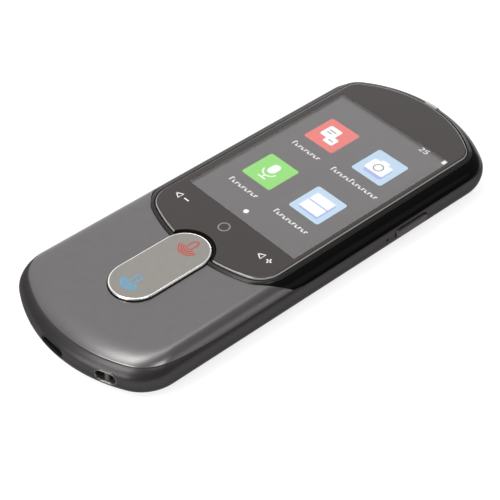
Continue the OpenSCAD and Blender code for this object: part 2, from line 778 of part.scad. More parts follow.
module speaker_box() {
    x = speaker_w / 2;
    y1 = speaker_y + speaker_l;
    z0 = floor_t + film_t;
    color([0.1, 0.1, 0.1]) difference() {
        box(-x, x, speaker_y, y1, z0, battery_top);
        box(-x + speaker_wall, x - speaker_wall, speaker_y + speaker_wall, y1 - speaker_wall,
            z0 + speaker_wall, battery_top - speaker_wall);
        grille(floor_t, z0 + speaker_wall + eps);
    }
}

module speaker_mesh() {
    x = grille_pitch * (grille_counts[0] + 1) - grille_r;
    y = grille_pitch * (grille_counts[1] + 1) - grille_r;
    color([0.2, 0.2, 0.2]) box(-x, x, grille_y - y, grille_y + y, floor_t, floor_t + film_t);
}

function io_outline() = body_outline(wall + io_in, wall + io_in, wall + io_in);
module socket_board() {
    color([0.05, 0.3, 0.15]) difference() {
        intersection() {
            slab(io_outline(), io_z, io_top);
            box(-io_half_w, io_half_w, io_y, io_y + io_l, io_z - 1, io_top + 1);
        }
        for (p = io_screw_places()) disc(p[0], p[1], io_z - 1, io_top + 1, screw_r + 2 * screw_play);
        eyelet_room();
    }
}

module socket_board_screws() {
    color([0.75, 0.75, 0.75]) screws(io_screw_places(), io_top, io_screw_l);
}

module usb_shell() {
    color([0.7, 0.7, 0.7]) translate([0, 0, waist_z]) difference() {
        flat_pill(usb_w, usb_h, usb_mouth, usb_mouth + usb_depth);
        flat_pill(usb_w - 2 * usb_sheet, usb_h - 2 * usb_sheet, usb_mouth - 1, usb_back);
    }
}

module usb_tongue() {
    color([0.1, 0.1, 0.1]) translate([0, 0, waist_z])
        box(-usb_tongue_w / 2, usb_tongue_w / 2, usb_back - usb_tongue_l, usb_back,
            -usb_tongue_t / 2, usb_tongue_t / 2);
}

module lower_microphone() {
    arc = bottom_arc_r - wall;
    x = io_screw_x + mic_l / 2;
    y0 = bottom_y + wall + arc - sqrt(pow(arc, 2) - pow(x, 2)) + mic_gap;
    color([0.8, 0.7, 0.4]) box(-x, -x + mic_l,
        y0, y0 + mic_w, io_top, io_top + mic_h);
}

module lanyard_eyelet() {
    color([0.6, 0.6, 0.6]) at_eyelet() difference() {
        flat_pill(eyelet_w, eyelet_h, eyelet_in, eyelet_depth);
        flat_pill(eyelet_w - 2 * eyelet_wall, eyelet_h - 2 * eyelet_wall, -1, eyelet_depth - eyelet_wall);
    }
}

module lanyard_post() {
    color([0.8, 0.8, 0.8]) at_eyelet() translate([0, post_depth, -eyelet_h / 2 + eyelet_wall])
        cylinder(h = eyelet_h - 2 * eyelet_wall, r = post_r);
}

module rocker_key() {
    color([0.6, 0.58, 0.55]) pill(rocker_y, rocker_span, rocker_r, flange_top, rocker_top);
}

module rocker_carrier() {
    color([0.2, 0.2, 0.2]) {
        pill(rocker_y, rocker_span, rocker_r + flange_w, flange_z, flange_top);
        for (s = [-1, 1]) disc(0, rocker_y + s * switch_arm, switch_top + press_gap, flange_z, nub_r);
        for (s = [-1, 1]) translate([s * rocker_r, rocker_y, axle_z]) rotate([0, s * 90, 0])
            cylinder(h = axle_l + flange_w, r = axle_r);
    }
}

// Two bearings hang from the front cover and hold the rocker's axles
module rocker_bearings() {
    color([0.3, 0.3, 0.3]) for (s = [-1, 1])
        translate([s * (bearing_x + axle_l / 2), rocker_y, 0]) difference() {
        box(-axle_l / 2, axle_l / 2, -bearing_w / 2, bearing_w / 2,
            axle_z - axle_r - bearing_wall, cover_under - eps);
        translate([-axle_l, 0, axle_z]) rotate([0, 90, 0]) cylinder(h = 2 * axle_l, r = axle_r + axle_play);
    }
}

module rocker_board() {
    color([0.75, 0.5, 0.2]) pill(rocker_y, rocker_span, rocker_r - rocker_board_in,
        chassis_top, chassis_top + rocker_board_t);
}

module talk_switches() {
    color([0.8, 0.8, 0.8]) for (s = [-1, 1])
        disc(0, rocker_y + s * switch_arm, chassis_top + rocker_board_t, switch_top, switch_r);
}

module side_key() {
    color([0.12, 0.1, 0.1]) {
        key_shape(0, key_flange_x - eps, side_x + key_proud);
        key_shape(key_flange_w, key_flange_x - key_flange_t, key_flange_x);
    }
}

module side_switch() {
    color([0.7, 0.7, 0.7]) difference() {
        box(switch_x0, switch_x1, key_y - side_switch_l / 2, key_y + side_switch_l / 2,
            chassis_z, chassis_z + side_switch_h);
        translate([switch_x1 - plunger_in - 2 * key_travel, key_y, plunger_z]) rotate([0, 90, 0])
            cylinder(h = side_switch_w, r = plunger_r + plunger_play);
    }
}

module side_switch_plunger() {
    color([0.9, 0.9, 0.9]) translate([switch_x1 - plunger_in, key_y, plunger_z]) rotate([0, 90, 0])
        cylinder(h = key_flange_x - key_flange_t - switch_x1 + plunger_in, r = plunger_r);
}

module camera_module() {
    color([0.1, 0.1, 0.1]) union() {
        box(-camera_w / 2, camera_w / 2, camera_y - camera_w / 2, camera_y + camera_w / 2,
            floor_t + barrel_h, board_z);
        disc(0, camera_y, floor_t, floor_t + barrel_h, barrel_r);
    }
}

module camera_window() {
    color([0.1, 0.1, 0.12]) disc(0, camera_y, window_in, window_in + window_t, camera_r - camera_ring_w);
}

module camera_ring() {
    color([0.6, 0.6, 0.6]) difference() {
        disc(0, camera_y, ring_in, floor_t, camera_r);
        disc(0, camera_y, -1, window_in + window_t, camera_r - camera_ring_w);
        disc(0, camera_y, 0, floor_t + 1, barrel_r + barrel_gap);
    }
}

module flash_lens() {
    color([0.95, 0.95, 0.85]) disc(-flash_dx, camera_y, window_in / 2, floor_t, flash_r);
}

module flash_lamp() {
    color([0.95, 0.9, 0.5]) box(-flash_dx - flash_w / 2, -flash_dx + flash_w / 2,
        camera_y - flash_w / 2, camera_y + flash_w / 2, floor_t, board_z);
}

module antenna_flex() {
    color([0.75, 0.5, 0.2]) box(-antenna_w / 2, antenna_w / 2, tail_y + tail_l + 3 * slot_gap,
        tail_y + tail_l + 3 * slot_gap + antenna_l, chassis_top, chassis_top + film_t);
}

module vibration_motor() {
    color([0.75, 0.75, 0.75]) disc(motor_side - side_x, motor_y, chassis_z - motor_h, chassis_z, motor_r);
}

// The pale insert that crosses the rim at the top end
module light_guide_shape() {
    inner_y = glass_top + glass_gap;
    rim_y = glass_top + rim_out;
    translate([-guide_w / 2, 0, 0]) rotate([90, 0, 90]) linear_extrude(guide_w) polygon([
        [inner_y, cover_under], [inner_y, rim_top], [rim_y, rim_top],
        [rim_y + guide_run, cover_top - guide_drop], [rim_y + guide_run, cover_under]]);
}

module status_light_guide() {
    color([0.6, 0.6, 0.58]) light_guide_shape();
}

rear_cover();
front_cover();
bezel_frame();
cover_glass();
glass_adhesive();
display_panel();
backlight_unit();
display_foam();
display_flex();
display_connector();
chassis();
chassis_screws();
main_board();
shield_cans();
side_microphone();
battery();
battery_pad();
link_flex();
speaker_box();
speaker_mesh();
socket_board();
socket_board_screws();
usb_shell();
usb_tongue();
lower_microphone();
lanyard_eyelet();
lanyard_post();
rocker_key();
rocker_carrier();
rocker_bearings();
rocker_board();
talk_switches();
side_key();
side_switch();
side_switch_plunger();
camera_module();
camera_window();
camera_ring();
flash_lens();
flash_lamp();
antenna_flex();
vibration_motor();
status_light_guide();
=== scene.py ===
"""Dresses the handheld translator: covers, bezel, glass, lit display, rocker, keys and fittings."""
import logging
import math
from collections.abc import Iterable
from dataclasses import dataclass, replace
from enum import Enum

import bmesh
import bpy
from mathutils import Matrix, Vector


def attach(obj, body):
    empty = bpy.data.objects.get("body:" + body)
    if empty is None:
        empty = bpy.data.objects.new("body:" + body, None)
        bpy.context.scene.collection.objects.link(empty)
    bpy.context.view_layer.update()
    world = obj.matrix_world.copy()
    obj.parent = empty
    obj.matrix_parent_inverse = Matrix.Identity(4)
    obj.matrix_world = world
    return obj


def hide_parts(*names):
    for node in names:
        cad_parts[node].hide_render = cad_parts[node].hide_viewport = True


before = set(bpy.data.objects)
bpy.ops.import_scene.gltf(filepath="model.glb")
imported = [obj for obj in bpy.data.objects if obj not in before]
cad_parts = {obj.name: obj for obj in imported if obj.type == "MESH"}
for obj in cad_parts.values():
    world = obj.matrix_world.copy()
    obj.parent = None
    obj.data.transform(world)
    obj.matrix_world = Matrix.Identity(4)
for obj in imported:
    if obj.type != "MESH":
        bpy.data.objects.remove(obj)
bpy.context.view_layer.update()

MM = 0.001
LOG = logging.getLogger("translator")
OWN_MARK = "_finish"
QUARTER = math.pi / 2
CUT_LOW, CUT_HIGH = 5.0, 14.0
RIM_SEAT = 9.5
BORE_REACH = 3.0
SOFT_EDGE = 0.1
SOFT_ANGLE = 35
BRUSH_STRETCH = (1.0, 0.03, 1.0)
BROAD_GRAINS = 40
BROAD_SHARE = 0.4
RELIEF_SHARE = 0.2

Point2 = tuple[float, float]
Point3 = tuple[float, float, float]
Colour = tuple[float, float, float]


class Body(Enum):
    """The bodies of the frame that pieces ride on."""

    CASE = "body"
    ROCKER = "talk_rocker"
    SIDE_KEY = "side_key"


class Grain(Enum):
    """How a finish breaks up its surface."""

    MOULDED = "moulded"
    BRUSHED = "brushed"
    FLAKE = "flake"
    WOVEN = "woven"
    TRACES = "traces"


def tone(red: int, green: int, blue: int) -> Colour:
    """Turn a screen colour into the linear colour that shaders use.

    Args:
        red: Red from 0 to 255.
        green: Green from 0 to 255.
        blue: Blue from 0 to 255.

    Returns:
        The linear colour.
    """
    def linear(value: int) -> float:
        """Linear share of one channel."""
        share = value / 255
        return share / 12.92 if share <= 0.04045 else ((share + 0.055) / 1.055) ** 2.4
    return linear(red), linear(green), linear(blue)


# ---------------------------------------------------------------- finishes

class Wiring:
    """A node tree with short ways to add nodes and to feed their sockets."""

    def __init__(self, owner: bpy.types.Material | bpy.types.World) -> None:
        """Take over the tree of a material or a world."""
        owner.use_nodes = True
        self.owner = owner
        self.nodes, self.links = owner.node_tree.nodes, owner.node_tree.links

    def feed(self, node: bpy.types.Node, feeds: dict[str | int, object]) -> bpy.types.Node:
        """Give a node's sockets their constants and their links.

        Args:
            node: The node.
            feeds: For each socket its constant, or the output it is linked to.

        Returns:
            The node.
        """
        for socket, source in feeds.items():
            if isinstance(source, bpy.types.NodeSocket):
                self.links.new(source, node.inputs[socket])
            else:
                node.inputs[socket].default_value = source
        return node

    def add(self, kind: str, feeds: dict[str | int, object] | None = None) -> bpy.types.Node:
        """Add a node of a kind and feed it."""
        return self.feed(self.nodes.new(kind), feeds or {})

    def math(self, operation: str, first: object, second: object) -> bpy.types.NodeSocket:
        """Add a sum or the like of two inputs and hand out its result."""
        made = self.add("ShaderNodeMath", {0: first, 1: second})
        made.operation = operation
        return made.outputs[0]

    def ramp(self, source: bpy.types.NodeSocket, stops: list[tuple[float, Colour]]) -> bpy.types.NodeSocket:
        """Turn a value into a colour.

        Args:
            source: The value.
            stops: Place and colour of each stop.

        Returns:
            The colour's output.
        """
        made = self.add("ShaderNodeValToRGB", {"Fac": source})
        elements = made.color_ramp.elements
        while len(elements) < len(stops):
            elements.new(0.5)
        for element, (position, colour) in zip(elements, stops):
            element.position = position
            element.color = (*colour, 1)
        return made.outputs["Color"]


@dataclass(frozen=True)
class Surface:
    """What a piece is made of, as a node material that is built once."""

    name: str

    def material(self) -> bpy.types.Material:
        """Build the material, or hand out the one that is there.

        Returns:
            The node material.
        """
        name = self.name + OWN_MARK
        if name not in bpy.data.materials:
            wiring = Wiring(bpy.data.materials.new(name))
            wiring.feed(wiring.nodes["Principled BSDF"], self.sockets(wiring))
        return bpy.data.materials[name]

    def sockets(self, wiring: Wiring) -> dict[str, object]:
        """What the shader's sockets are fed with."""
        raise NotImplementedError


def shades(colour: Colour, spread: float) -> tuple[Colour, Colour]:
    """A darker and a lighter shade of a colour."""
    return tuple(c * (1 - spread) for c in colour), tuple(min(1.0, c * (1 + spread)) for c in colour)


@dataclass(frozen=True)
class Finish(Surface):
    """A surface finish whose colour, gloss and bump all come from nodes."""

    colour: Colour
    roughness: float = 0.5
    metallic: float = 0.0
    coat: float = 0.0
    coat_roughness: float = 0.05
    ior: float = 1.5
    edge_tint: float = 1.0
    grain: Grain = Grain.MOULDED
    grain_mm: float = 0.25
    mottle: float = 0.08
    roughness_spread: float = 0.06
    bump: float = 0.05

    def sockets(self, wiring: Wiring) -> dict[str, object]:
        """Mottle the colour and the gloss and raise the grain.

        Args:
            wiring: The material's nodes.

        Returns:
            What the shader's sockets are fed with.
        """
        wiring.owner.diffuse_color = (*self.colour, 1)
        place = wiring.add("ShaderNodeTexCoord").outputs["Object"]
        stretch = wiring.add("ShaderNodeMapping", {"Vector": place})
        if self.grain is Grain.BRUSHED:
            wiring.feed(stretch, {"Scale": BRUSH_STRETCH})
        fine = wiring.feed(self._pattern(wiring), {"Vector": stretch.outputs["Vector"]}).outputs[0]
        broad = wiring.add("ShaderNodeTexNoise", {"Scale": 1 / (BROAD_GRAINS * self.grain_mm * MM),
                                                  "Detail": 3, "Vector": place}).outputs[0]
        both = wiring.add("ShaderNodeMix", {"Factor": BROAD_SHARE, "A": fine, "B": broad}).outputs[0]
        dark, light = shades(self.colour, self.mottle)
        gloss = wiring.add("ShaderNodeMapRange", {"To Min": max(0.0, self.roughness - self.roughness_spread),
                                                  "To Max": min(1.0, self.roughness + self.roughness_spread),
                                                  "Value": both})
        relief = wiring.add("ShaderNodeBump", {"Strength": self.bump, "Height": fine,
                                               "Distance": self.grain_mm * MM * RELIEF_SHARE})
        return {"Metallic": self.metallic, "IOR": self.ior, "Specular Tint": (*[self.edge_tint] * 3, 1),
                "Coat Weight": self.coat, "Coat Roughness": self.coat_roughness,
                "Base Color": wiring.ramp(both, [(0.3, dark), (0.7, light)]),
                "Roughness": gloss.outputs["Result"], "Normal": relief.outputs["Normal"]}

    def _pattern(self, wiring: Wiring) -> bpy.types.Node:
        """Make the fine pattern's node.

        Args:
            wiring: The material's nodes.

        Returns:
            The texture node.
        """
        scale = {"Scale": 1 / (self.grain_mm * MM)}
        if self.grain is Grain.WOVEN:
            made = wiring.add("ShaderNodeTexMagic", scale)
            made.turbulence_depth = 1
        elif self.grain in (Grain.FLAKE, Grain.TRACES):
            made = wiring.add("ShaderNodeTexVoronoi", scale)
            made.distance = "EUCLIDEAN" if self.grain is Grain.FLAKE else "CHEBYCHEV"
        else:
            made = wiring.add("ShaderNodeTexNoise", scale | {"Detail": 4})
        return made


@dataclass(frozen=True)
class GlassFinish(Surface):
    """Clear cover glass with the faintest smear in its gloss."""

    roughness: float = 0.004
    ior: float = 1.46

    def sockets(self, wiring: Wiring) -> dict[str, object]:
        """Smear the gloss a little.

        Args:
            wiring: The material's nodes.

        Returns:
            What the shader's sockets are fed with.
        """
        smear = wiring.add("ShaderNodeTexNoise", {"Scale": 60, "Detail": 5})
        gloss = wiring.add("ShaderNodeMapRange", {"To Max": self.roughness * 2, "Value": smear.outputs[0]})
        return {"Base Color": (1, 1, 1, 1), "Transmission Weight": 1, "IOR": self.ior,
                "Roughness": gloss.outputs["Result"]}


@dataclass(frozen=True)
class LitFinish(Surface):
    """A glowing patch of the display, with the faint ripple of its pixels."""

    colour: Colour
    body: float = 0.05
    ripple_mm: float = 0.64
    ripple: float = 0.01

    def sockets(self, wiring: Wiring) -> dict[str, object]:
        """Let the glow ripple.

        Args:
            wiring: The material's nodes.

        Returns:
            What the shader's sockets are fed with.
        """
        place = wiring.add("ShaderNodeTexCoord").outputs["Object"]
        pixels = wiring.add("ShaderNodeTexNoise", {"Scale": 1 / (self.ripple_mm * MM), "Vector": place})
        dark, light = shades(self.colour, self.ripple)
        return {"Base Color": (*(c * self.body for c in self.colour), 1), "Specular IOR Level": 0.0,
                "Roughness": 0.6, "Emission Strength": 1.0,
                "Emission Color": wiring.ramp(pixels.outputs[0], [(0.0, dark), (1.0, light)])}


COVER_METAL = Finish("cover_metal", tone(107, 105, 105), roughness=0.28, metallic=0.9, grain=Grain.FLAKE,
                     grain_mm=0.09, mottle=0.03, roughness_spread=0.015, bump=0.03)
SHELL_PAINT = Finish("shell_paint", tone(66, 64, 65), roughness=0.34, metallic=0.75, ior=1.3, edge_tint=0.35,
                     grain_mm=0.12, mottle=0.04, roughness_spread=0.03, bump=0.05)
BEZEL_GLOSS = Finish("bezel_gloss", tone(9, 9, 9), roughness=0.12, ior=1.16, grain_mm=0.3,
                     mottle=0.15, roughness_spread=0.03, bump=0.01)
RIM_SATIN = Finish("rim_satin", tone(26, 25, 25), roughness=0.24, ior=1.36, grain_mm=0.15,
                   mottle=0.1, bump=0.02)
# Painted highlight: a pale grey matte skin over the glass's rounded edge stands in for the light that edge
# catches.
GLASS_EDGE_HIGHLIGHT = Finish("glass_edge_highlight", tone(146, 143, 139), roughness=0.22, grain_mm=0.2, mottle=0.05, bump=0.0)
PRINT_BLACK = Finish("border_print", tone(22, 20, 19), roughness=0.06, ior=1.3,
                     grain_mm=0.1, mottle=0.1, roughness_spread=0.015, bump=0.0)
# Black print seen under glass, partly painted reflection: the base is lighter and warmer than the print,
# standing in for the light the glass reflects onto it.
GLASS_BLACK_AND_SHEEN = Finish("glass_print_and_painted_reflection", tone(37, 30, 28), roughness=0.06, ior=1.5, grain_mm=0.5,
                     mottle=0.06, roughness_spread=0.015, bump=0.0)
PRINT_WHITE = Finish("key_marks_print", tone(225, 224, 222), roughness=0.5, grain_mm=0.1, mottle=0.04)
PRINT_GREY = Finish("home_ring_print", tone(120, 116, 113), roughness=0.5, grain_mm=0.1, mottle=0.06)
ROCKER_METAL = Finish("rocker_metal", tone(137, 134, 129), roughness=0.34, metallic=0.85,
                      grain=Grain.BRUSHED, grain_mm=0.06, mottle=0.05, bump=0.04)
ROCKER_CHROME = Finish("rocker_chamfer", tone(240, 238, 235), roughness=0.22, metallic=1.0,
                       grain_mm=0.2, mottle=0.02, roughness_spread=0.03, bump=0.01)
RED_PRINT = Finish("talk_mark_red", tone(172, 52, 38), roughness=0.45, grain_mm=0.1, mottle=0.06)
BLUE_PRINT = Finish("talk_mark_blue", tone(72, 148, 182), roughness=0.45, grain_mm=0.1, mottle=0.06)
KEY_DARK = Finish("side_key_dark", tone(44, 38, 36), roughness=0.24, metallic=0.4, ior=1.4,
                  grain_mm=0.15, bump=0.03)
EYELET_METAL = Finish("eyelet_metal", tone(84, 81, 79), roughness=0.45, metallic=0.5, grain_mm=0.2,
                      mottle=0.06, bump=0.02)
EYELET_DARK = Finish("eyelet_dark", tone(112, 109, 107), roughness=0.25, metallic=0.8, grain_mm=0.2,
                     mottle=0.08, bump=0.02)
# Painted shade: the steel socket shell is darkened to stand for the shade inside the port.
SOCKET_SHADED_STEEL = Finish("socket_steel_painted_shade", tone(34, 34, 35), roughness=0.45, metallic=0.6, grain_mm=0.1,
                     mottle=0.08, bump=0.02)
STEEL = Finish("socket_steel", tone(150, 150, 152), roughness=0.3, metallic=1.0, grain=Grain.BRUSHED,
               grain_mm=0.08, mottle=0.06, bump=0.03)
SHEET_METAL = Finish("sheet_metal", tone(165, 165, 168), roughness=0.38, metallic=0.9,
                     grain=Grain.BRUSHED, grain_mm=0.1, mottle=0.08, bump=0.05)
BLACK_PLASTIC = Finish("black_plastic", tone(32, 32, 33), roughness=0.5, grain_mm=0.15, mottle=0.15, bump=0.1)
WHITE_PLASTIC = Finish("white_plastic", tone(228, 227, 222), roughness=0.45, grain_mm=0.2, mottle=0.03)
FOAM = Finish("black_foam", tone(40, 40, 40), roughness=0.9, grain_mm=0.12, mottle=0.3, bump=0.6)
FLEX = Finish("amber_film", tone(190, 128, 52), roughness=0.35, grain=Grain.TRACES, grain_mm=0.5, mottle=0.1)
BOARD = Finish("board_mask", tone(18, 74, 44), roughness=0.35, grain=Grain.TRACES, grain_mm=0.9, mottle=0.22)
CONTACT = Finish("gilt_contact", tone(205, 165, 85), roughness=0.3, metallic=1.0, grain_mm=0.1)
FOIL = Finish("battery_foil", tone(72, 74, 80), roughness=0.42, metallic=0.6, grain_mm=0.8,
              mottle=0.1, bump=0.25)
MESH = Finish("speaker_mesh", tone(44, 44, 46), roughness=0.6, grain=Grain.WOVEN, grain_mm=0.09,
              mottle=0.5, bump=0.8)
LENS = Finish("light_insert", tone(150, 149, 146), roughness=0.3, coat=0.3, grain_mm=0.3, mottle=0.04)
LAMP = Finish("lamp_phosphor", tone(235, 215, 110), roughness=0.5, grain_mm=0.08, mottle=0.1)
PANEL = Finish("panel_film", tone(34, 35, 38), roughness=0.3, grain_mm=0.2, mottle=0.06)
COVER_GLASS = GlassFinish("cover_glass_clear")
WINDOW_GLASS = GlassFinish("camera_window_clear", roughness=0.01)
DARK_GLASS = Finish("camera_dark", tone(12, 12, 16), roughness=0.08, coat=0.6, grain_mm=0.4, mottle=0.2)
SCREEN = LitFinish("screen_grey", tone(94, 91, 91))
# Painted shade: a dimmer glow for the strip along the display's left and top edges, where the recess shades
# the lit area.
SCREEN_EDGE_SHADE = LitFinish("screen_edge_shade", tone(78, 76, 75))
TILE_SHADE = LitFinish("tile_shade", tone(164, 178, 228))
SCREEN_WHITE = LitFinish("screen_white", tone(248, 250, 250))
SCREEN_FAINT = LitFinish("screen_letters", tone(240, 240, 240))
TILE_RED = LitFinish("tile_red", tone(232, 112, 106))
TILE_BLUE = LitFinish("tile_blue", tone(186, 212, 236))
TILE_GREEN = LitFinish("tile_green", tone(138, 218, 104))
TILE_SKY = LitFinish("tile_sky", tone(188, 214, 238))


# ---------------------------------------------------------------- shapes

@dataclass(frozen=True)
class Outline:
    """A closed outline with a long arc and rounded corners at each end, in millimetres."""

    half: float
    low: float
    high: float
    low_arc: float
    low_corner: float
    high_arc: float
    high_corner: float
    steps: int = 14

    def grown(self, side: float, low: float | None = None, high: float | None = None) -> "Outline":
        """Draw the outline outwards.

        Args:
            side: How far the sides and all radii grow.
            low: How far the low end grows, as the sides if left out.
            high: How far the high end grows, as the sides if left out.

        Returns:
            The grown outline.
        """
        return replace(self, half=self.half + side, low=self.low - (side if low is None else low),
                       high=self.high + (side if high is None else high),
                       low_arc=self.low_arc + side, low_corner=self.low_corner + side,
                       high_arc=self.high_arc + side, high_corner=self.high_corner + side)

    def _end(self, end: float, arc: float, corner: float, sign: float) -> list[Point2]:
        """Points of one end's right half, from the middle to the side.

        Args:
            end: Y of the end.
            arc: Radius of the long arc.
            corner: Radius of the corner.
            sign: 1 for the low end and -1 for the high one.

        Returns:
            The points.
        """
        side = self.half - corner
        swing = math.asin(side / (arc - corner))
        centre = end + sign * (arc - math.sqrt((arc - corner) ** 2 - side ** 2))
        points = []
        for i in range(self.steps + 1):
            turn = swing * i / self.steps
            points.append((arc * math.sin(turn), end + sign * arc * (1 - math.cos(turn))))
        for i in range(1, self.steps + 1):
            turn = swing + (QUARTER - swing) * i / self.steps
            points.append((side + corner * math.sin(turn), centre - sign * corner * math.cos(turn)))
        return points

    def points(self) -> list[Point2]:
        """The whole outline, anticlockwise from the middle of the low end.

        Returns:
            The points.
        """
        low = self._end(self.low, self.low_arc, self.low_corner, 1)
        high = self._end(self.high, self.high_arc, self.high_corner, -1)
        side = 3 * self.steps
        straight = [(self.half, low[-1][1] + (high[-1][1] - low[-1][1]) * i / side) for i in range(1, side)]
        right = low + straight + high[::-1]
        return right + [(-x, y) for x, y in right[-2:0:-1]]

    def rings(self, profile: Iterable[Point2]) -> list[list[Point3]]:
        """A ring for each growth and height of a profile."""
        return [level(self.grown(grow).points(), z) for grow, z in profile]


def level(points: list[Point2], z: float) -> list[Point3]:
    """Points lifted to a height."""
    return [(x, y, z) for x, y in points]


def pill_points(middle: float, span: float, radius: float, steps: int = 28) -> list[Point2]:
    """A long round-ended outline along Y.

    Args:
        middle: Y of its middle.
        span: Distance between the centres of its ends.
        radius: Radius of its ends.
        steps: Steps round each end.

    Returns:
        The points, anticlockwise.
    """
    points = []
    for end, start in ((-1, math.pi), (1, 0.0)):
        for i in range(steps + 1):
            turn = start + math.pi * i / steps
            points.append((radius * math.cos(turn), middle + end * span / 2 + radius * math.sin(turn)))
        for i in range(1, steps // 2):
            points.append((-end * radius, middle + end * span * (0.5 - i / (steps // 2))))
    return points


def arc_points(centre: Point2, radius: float, start: float, stop: float, steps: int = 16) -> list[Point2]:
    """Points along a circular arc."""
    return [(centre[0] + radius * math.cos(math.radians(start + (stop - start) * i / steps)),
             centre[1] + radius * math.sin(math.radians(start + (stop - start) * i / steps)))
            for i in range(steps + 1)]


def box_points(x0: float, x1: float, y0: float, y1: float) -> list[Point2]:
    """The corners of a rectangle, anticlockwise."""
    return [(x0, y0), (x1, y0), (x1, y1), (x0, y1)]


def rounded_box(x0: float, x1: float, y0: float, y1: float, radius: float, steps: int = 6) -> list[Point2]:
    """Points of a rectangle with round corners."""
    corners = ((x1 - radius, y0 + radius, -90), (x1 - radius, y1 - radius, 0),
               (x0 + radius, y1 - radius, 90), (x0 + radius, y0 + radius, 180))
    return [p for x, y, start in corners for p in arc_points((x, y), radius, start, start + 90, steps)]


def band(path: list[Point2], width: float) -> list[Point2]:
    """A stroke with a constant width along a path, as one closed outline.

    Args:
        path: The middle line.
        width: The stroke's width.

    Returns:
        The outline's points.
    """
    left, right = [], []
    for i, (x, y) in enumerate(path):
        a, b = path[max(0, i - 1)], path[min(len(path) - 1, i + 1)]
        length = math.hypot(b[0] - a[0], b[1] - a[1]) or 1
        nx, ny = -(b[1] - a[1]) / length * width / 2, (b[0] - a[0]) / length * width / 2
        left.append((x + nx, y + ny))
        right.append((x - nx, y - ny))
    return right + left[::-1]


class Shape:
    """A mesh in the making, in millimetres."""

    def __init__(self) -> None:
        """Start empty."""
        self.mesh = bmesh.new()

    def loft(self, rings: list[list[Point3]], round_trip: bool = False) -> "Shape":
        """Join rings of equal length into one skin.

        Args:
            rings: The rings, each closed.
            round_trip: Whether the last ring joins the first one instead of both being filled.

        Returns:
            This shape.
        """
        rows = [[self.mesh.verts.new(Vector(p) * MM) for p in ring] for ring in rings]
        count = len(rows[0])
        last = [(rows[-1], rows[0])] if round_trip else []
        for low, high in list(zip(rows, rows[1:])) + last:
            for i in range(count):
                j = (i + 1) % count
                self.mesh.faces.new((low[i], low[j], high[j], high[i]))
        if not round_trip:
            self.mesh.faces.new(rows[0][::-1])
            self.mesh.faces.new(rows[-1])
        return self

    def slab(self, points: list[Point2], z0: float, z1: float) -> "Shape":
        """Add a straight prism between two heights."""
        return self.loft([level(points, z) for z in (z0, z1)])

    def sheet(self, points: list[Point2], z: float) -> "Shape":
        """Add a flat face."""
        self.mesh.faces.new([self.mesh.verts.new(Vector(p) * MM) for p in level(points, z)])
        return self

    def placed(self, matrix: Matrix) -> "Shape":
        """Move the whole shape.

        Args:
            matrix: Where it goes, with its shift in millimetres.

        Returns:
            This shape.
        """
        shift = matrix.copy()
        shift.translation = matrix.translation * MM
        self.mesh.transform(shift)
        return self

    def object(self, name: str) -> bpy.types.Object:
        """Turn the shape into an object of the scene.

        Args:
            name: The object's name.

        Returns:
            The object.
        """
        bmesh.ops.recalc_face_normals(self.mesh, faces=self.mesh.faces)
        data = bpy.data.meshes.new(name)
        self.mesh.to_mesh(data)
        self.mesh.free()
        made = bpy.data.objects.new(name, data)
        bpy.context.scene.collection.objects.link(made)
        return made


def bake(piece: bpy.types.Object) -> None:
    """Apply a piece's modifiers to its mesh.

    Args:
        piece: The piece.
    """
    graph = bpy.context.evaluated_depsgraph_get()
    graph.update()
    fresh = bpy.data.meshes.new_from_object(piece.evaluated_get(graph))
    old = piece.data
    piece.modifiers.clear()
    piece.data = fresh
    bpy.data.meshes.remove(old)


class Cut(Enum):
    """What a tool shape does to a piece."""

    AWAY = "DIFFERENCE"
    KEEP = "INTERSECT"


def carve(piece: bpy.types.Object, how: Cut, *tools: Shape) -> None:
    """Cut a piece with tool shapes, one after the other.

    Args:
        piece: The piece.
        how: What the tools do.
        tools: The tool shapes, used up by this.
    """
    for tool in tools:
        blade = tool.object("blade")
        step = piece.modifiers.new("carve", "BOOLEAN")
        step.operation = how.value
        step.solver = "EXACT"
        step.object = blade
        bake(piece)
        data = blade.data
        bpy.data.objects.remove(blade)
        bpy.data.meshes.remove(data)


def soften(piece: bpy.types.Object) -> None:
    """Round a piece's sharp edges a little.

    Args:
        piece: The piece.
    """
    step = piece.modifiers.new("soften", "BEVEL")
    step.width = SOFT_EDGE * MM
    step.segments = 2
    step.limit_method = "ANGLE"
    step.angle_limit = math.radians(SOFT_ANGLE)
    bake(piece)


def finish_piece(piece: bpy.types.Object, finish: Surface, slot: str, *stands_for: str,
                 body: Body = Body.CASE, angle: float = 32) -> None:
    """Give a piece its material, its body and its smooth shading.

    Args:
        piece: The piece.
        finish: Its finish.
        slot: Not used.
        stands_for: The CAD nodes it replaces.
        body: The body it rides on.
        angle: Edges sharper than this many degrees stay sharp.
    """
    piece.data.materials.clear()
    piece.data.materials.append(finish.material())
    piece.data.shade_smooth()
    piece.data.set_sharp_from_angle(angle=math.radians(angle))
    step = piece.modifiers.new("even", "WEIGHTED_NORMAL")
    step.keep_sharp = True
    bake(piece)
    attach(piece, body.value)
    if stands_for:
        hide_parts(*stands_for)
    LOG.info("%s: %d faces", piece.name, len(piece.data.polygons))


def lay_flat(name: str, outlines: list[list[Point2]], z: float, finish: Surface, slot: str,
             body: Body = Body.CASE) -> None:
    """Lay flat shapes at one height, as print or as a lit patch.

    Args:
        name: The piece's name.
        outlines: The shapes' outlines.
        z: Their height.
        finish: Their finish.
        slot: A record's slot name, handed on to finish_piece.
        body: The body they ride on.
    """
    layer = Shape()
    for points in outlines:
        layer.sheet(points, z)
    finish_piece(layer.object(name), finish, slot, body=body)


def cutter(points: list[Point2], low: float = CUT_LOW) -> Shape:
    """A tool shape that reaches up through the front."""
    return Shape().slab(points, low, CUT_HIGH)


def moved(x: float, y: float, z: float, turn: float = 0.0, axis: str = "Z") -> Matrix:
    """A turn about one axis and a shift in millimetres."""
    return Matrix.Translation((x, y, z)) @ Matrix.Rotation(turn, 4, axis)


# ---------------------------------------------------------------- the case

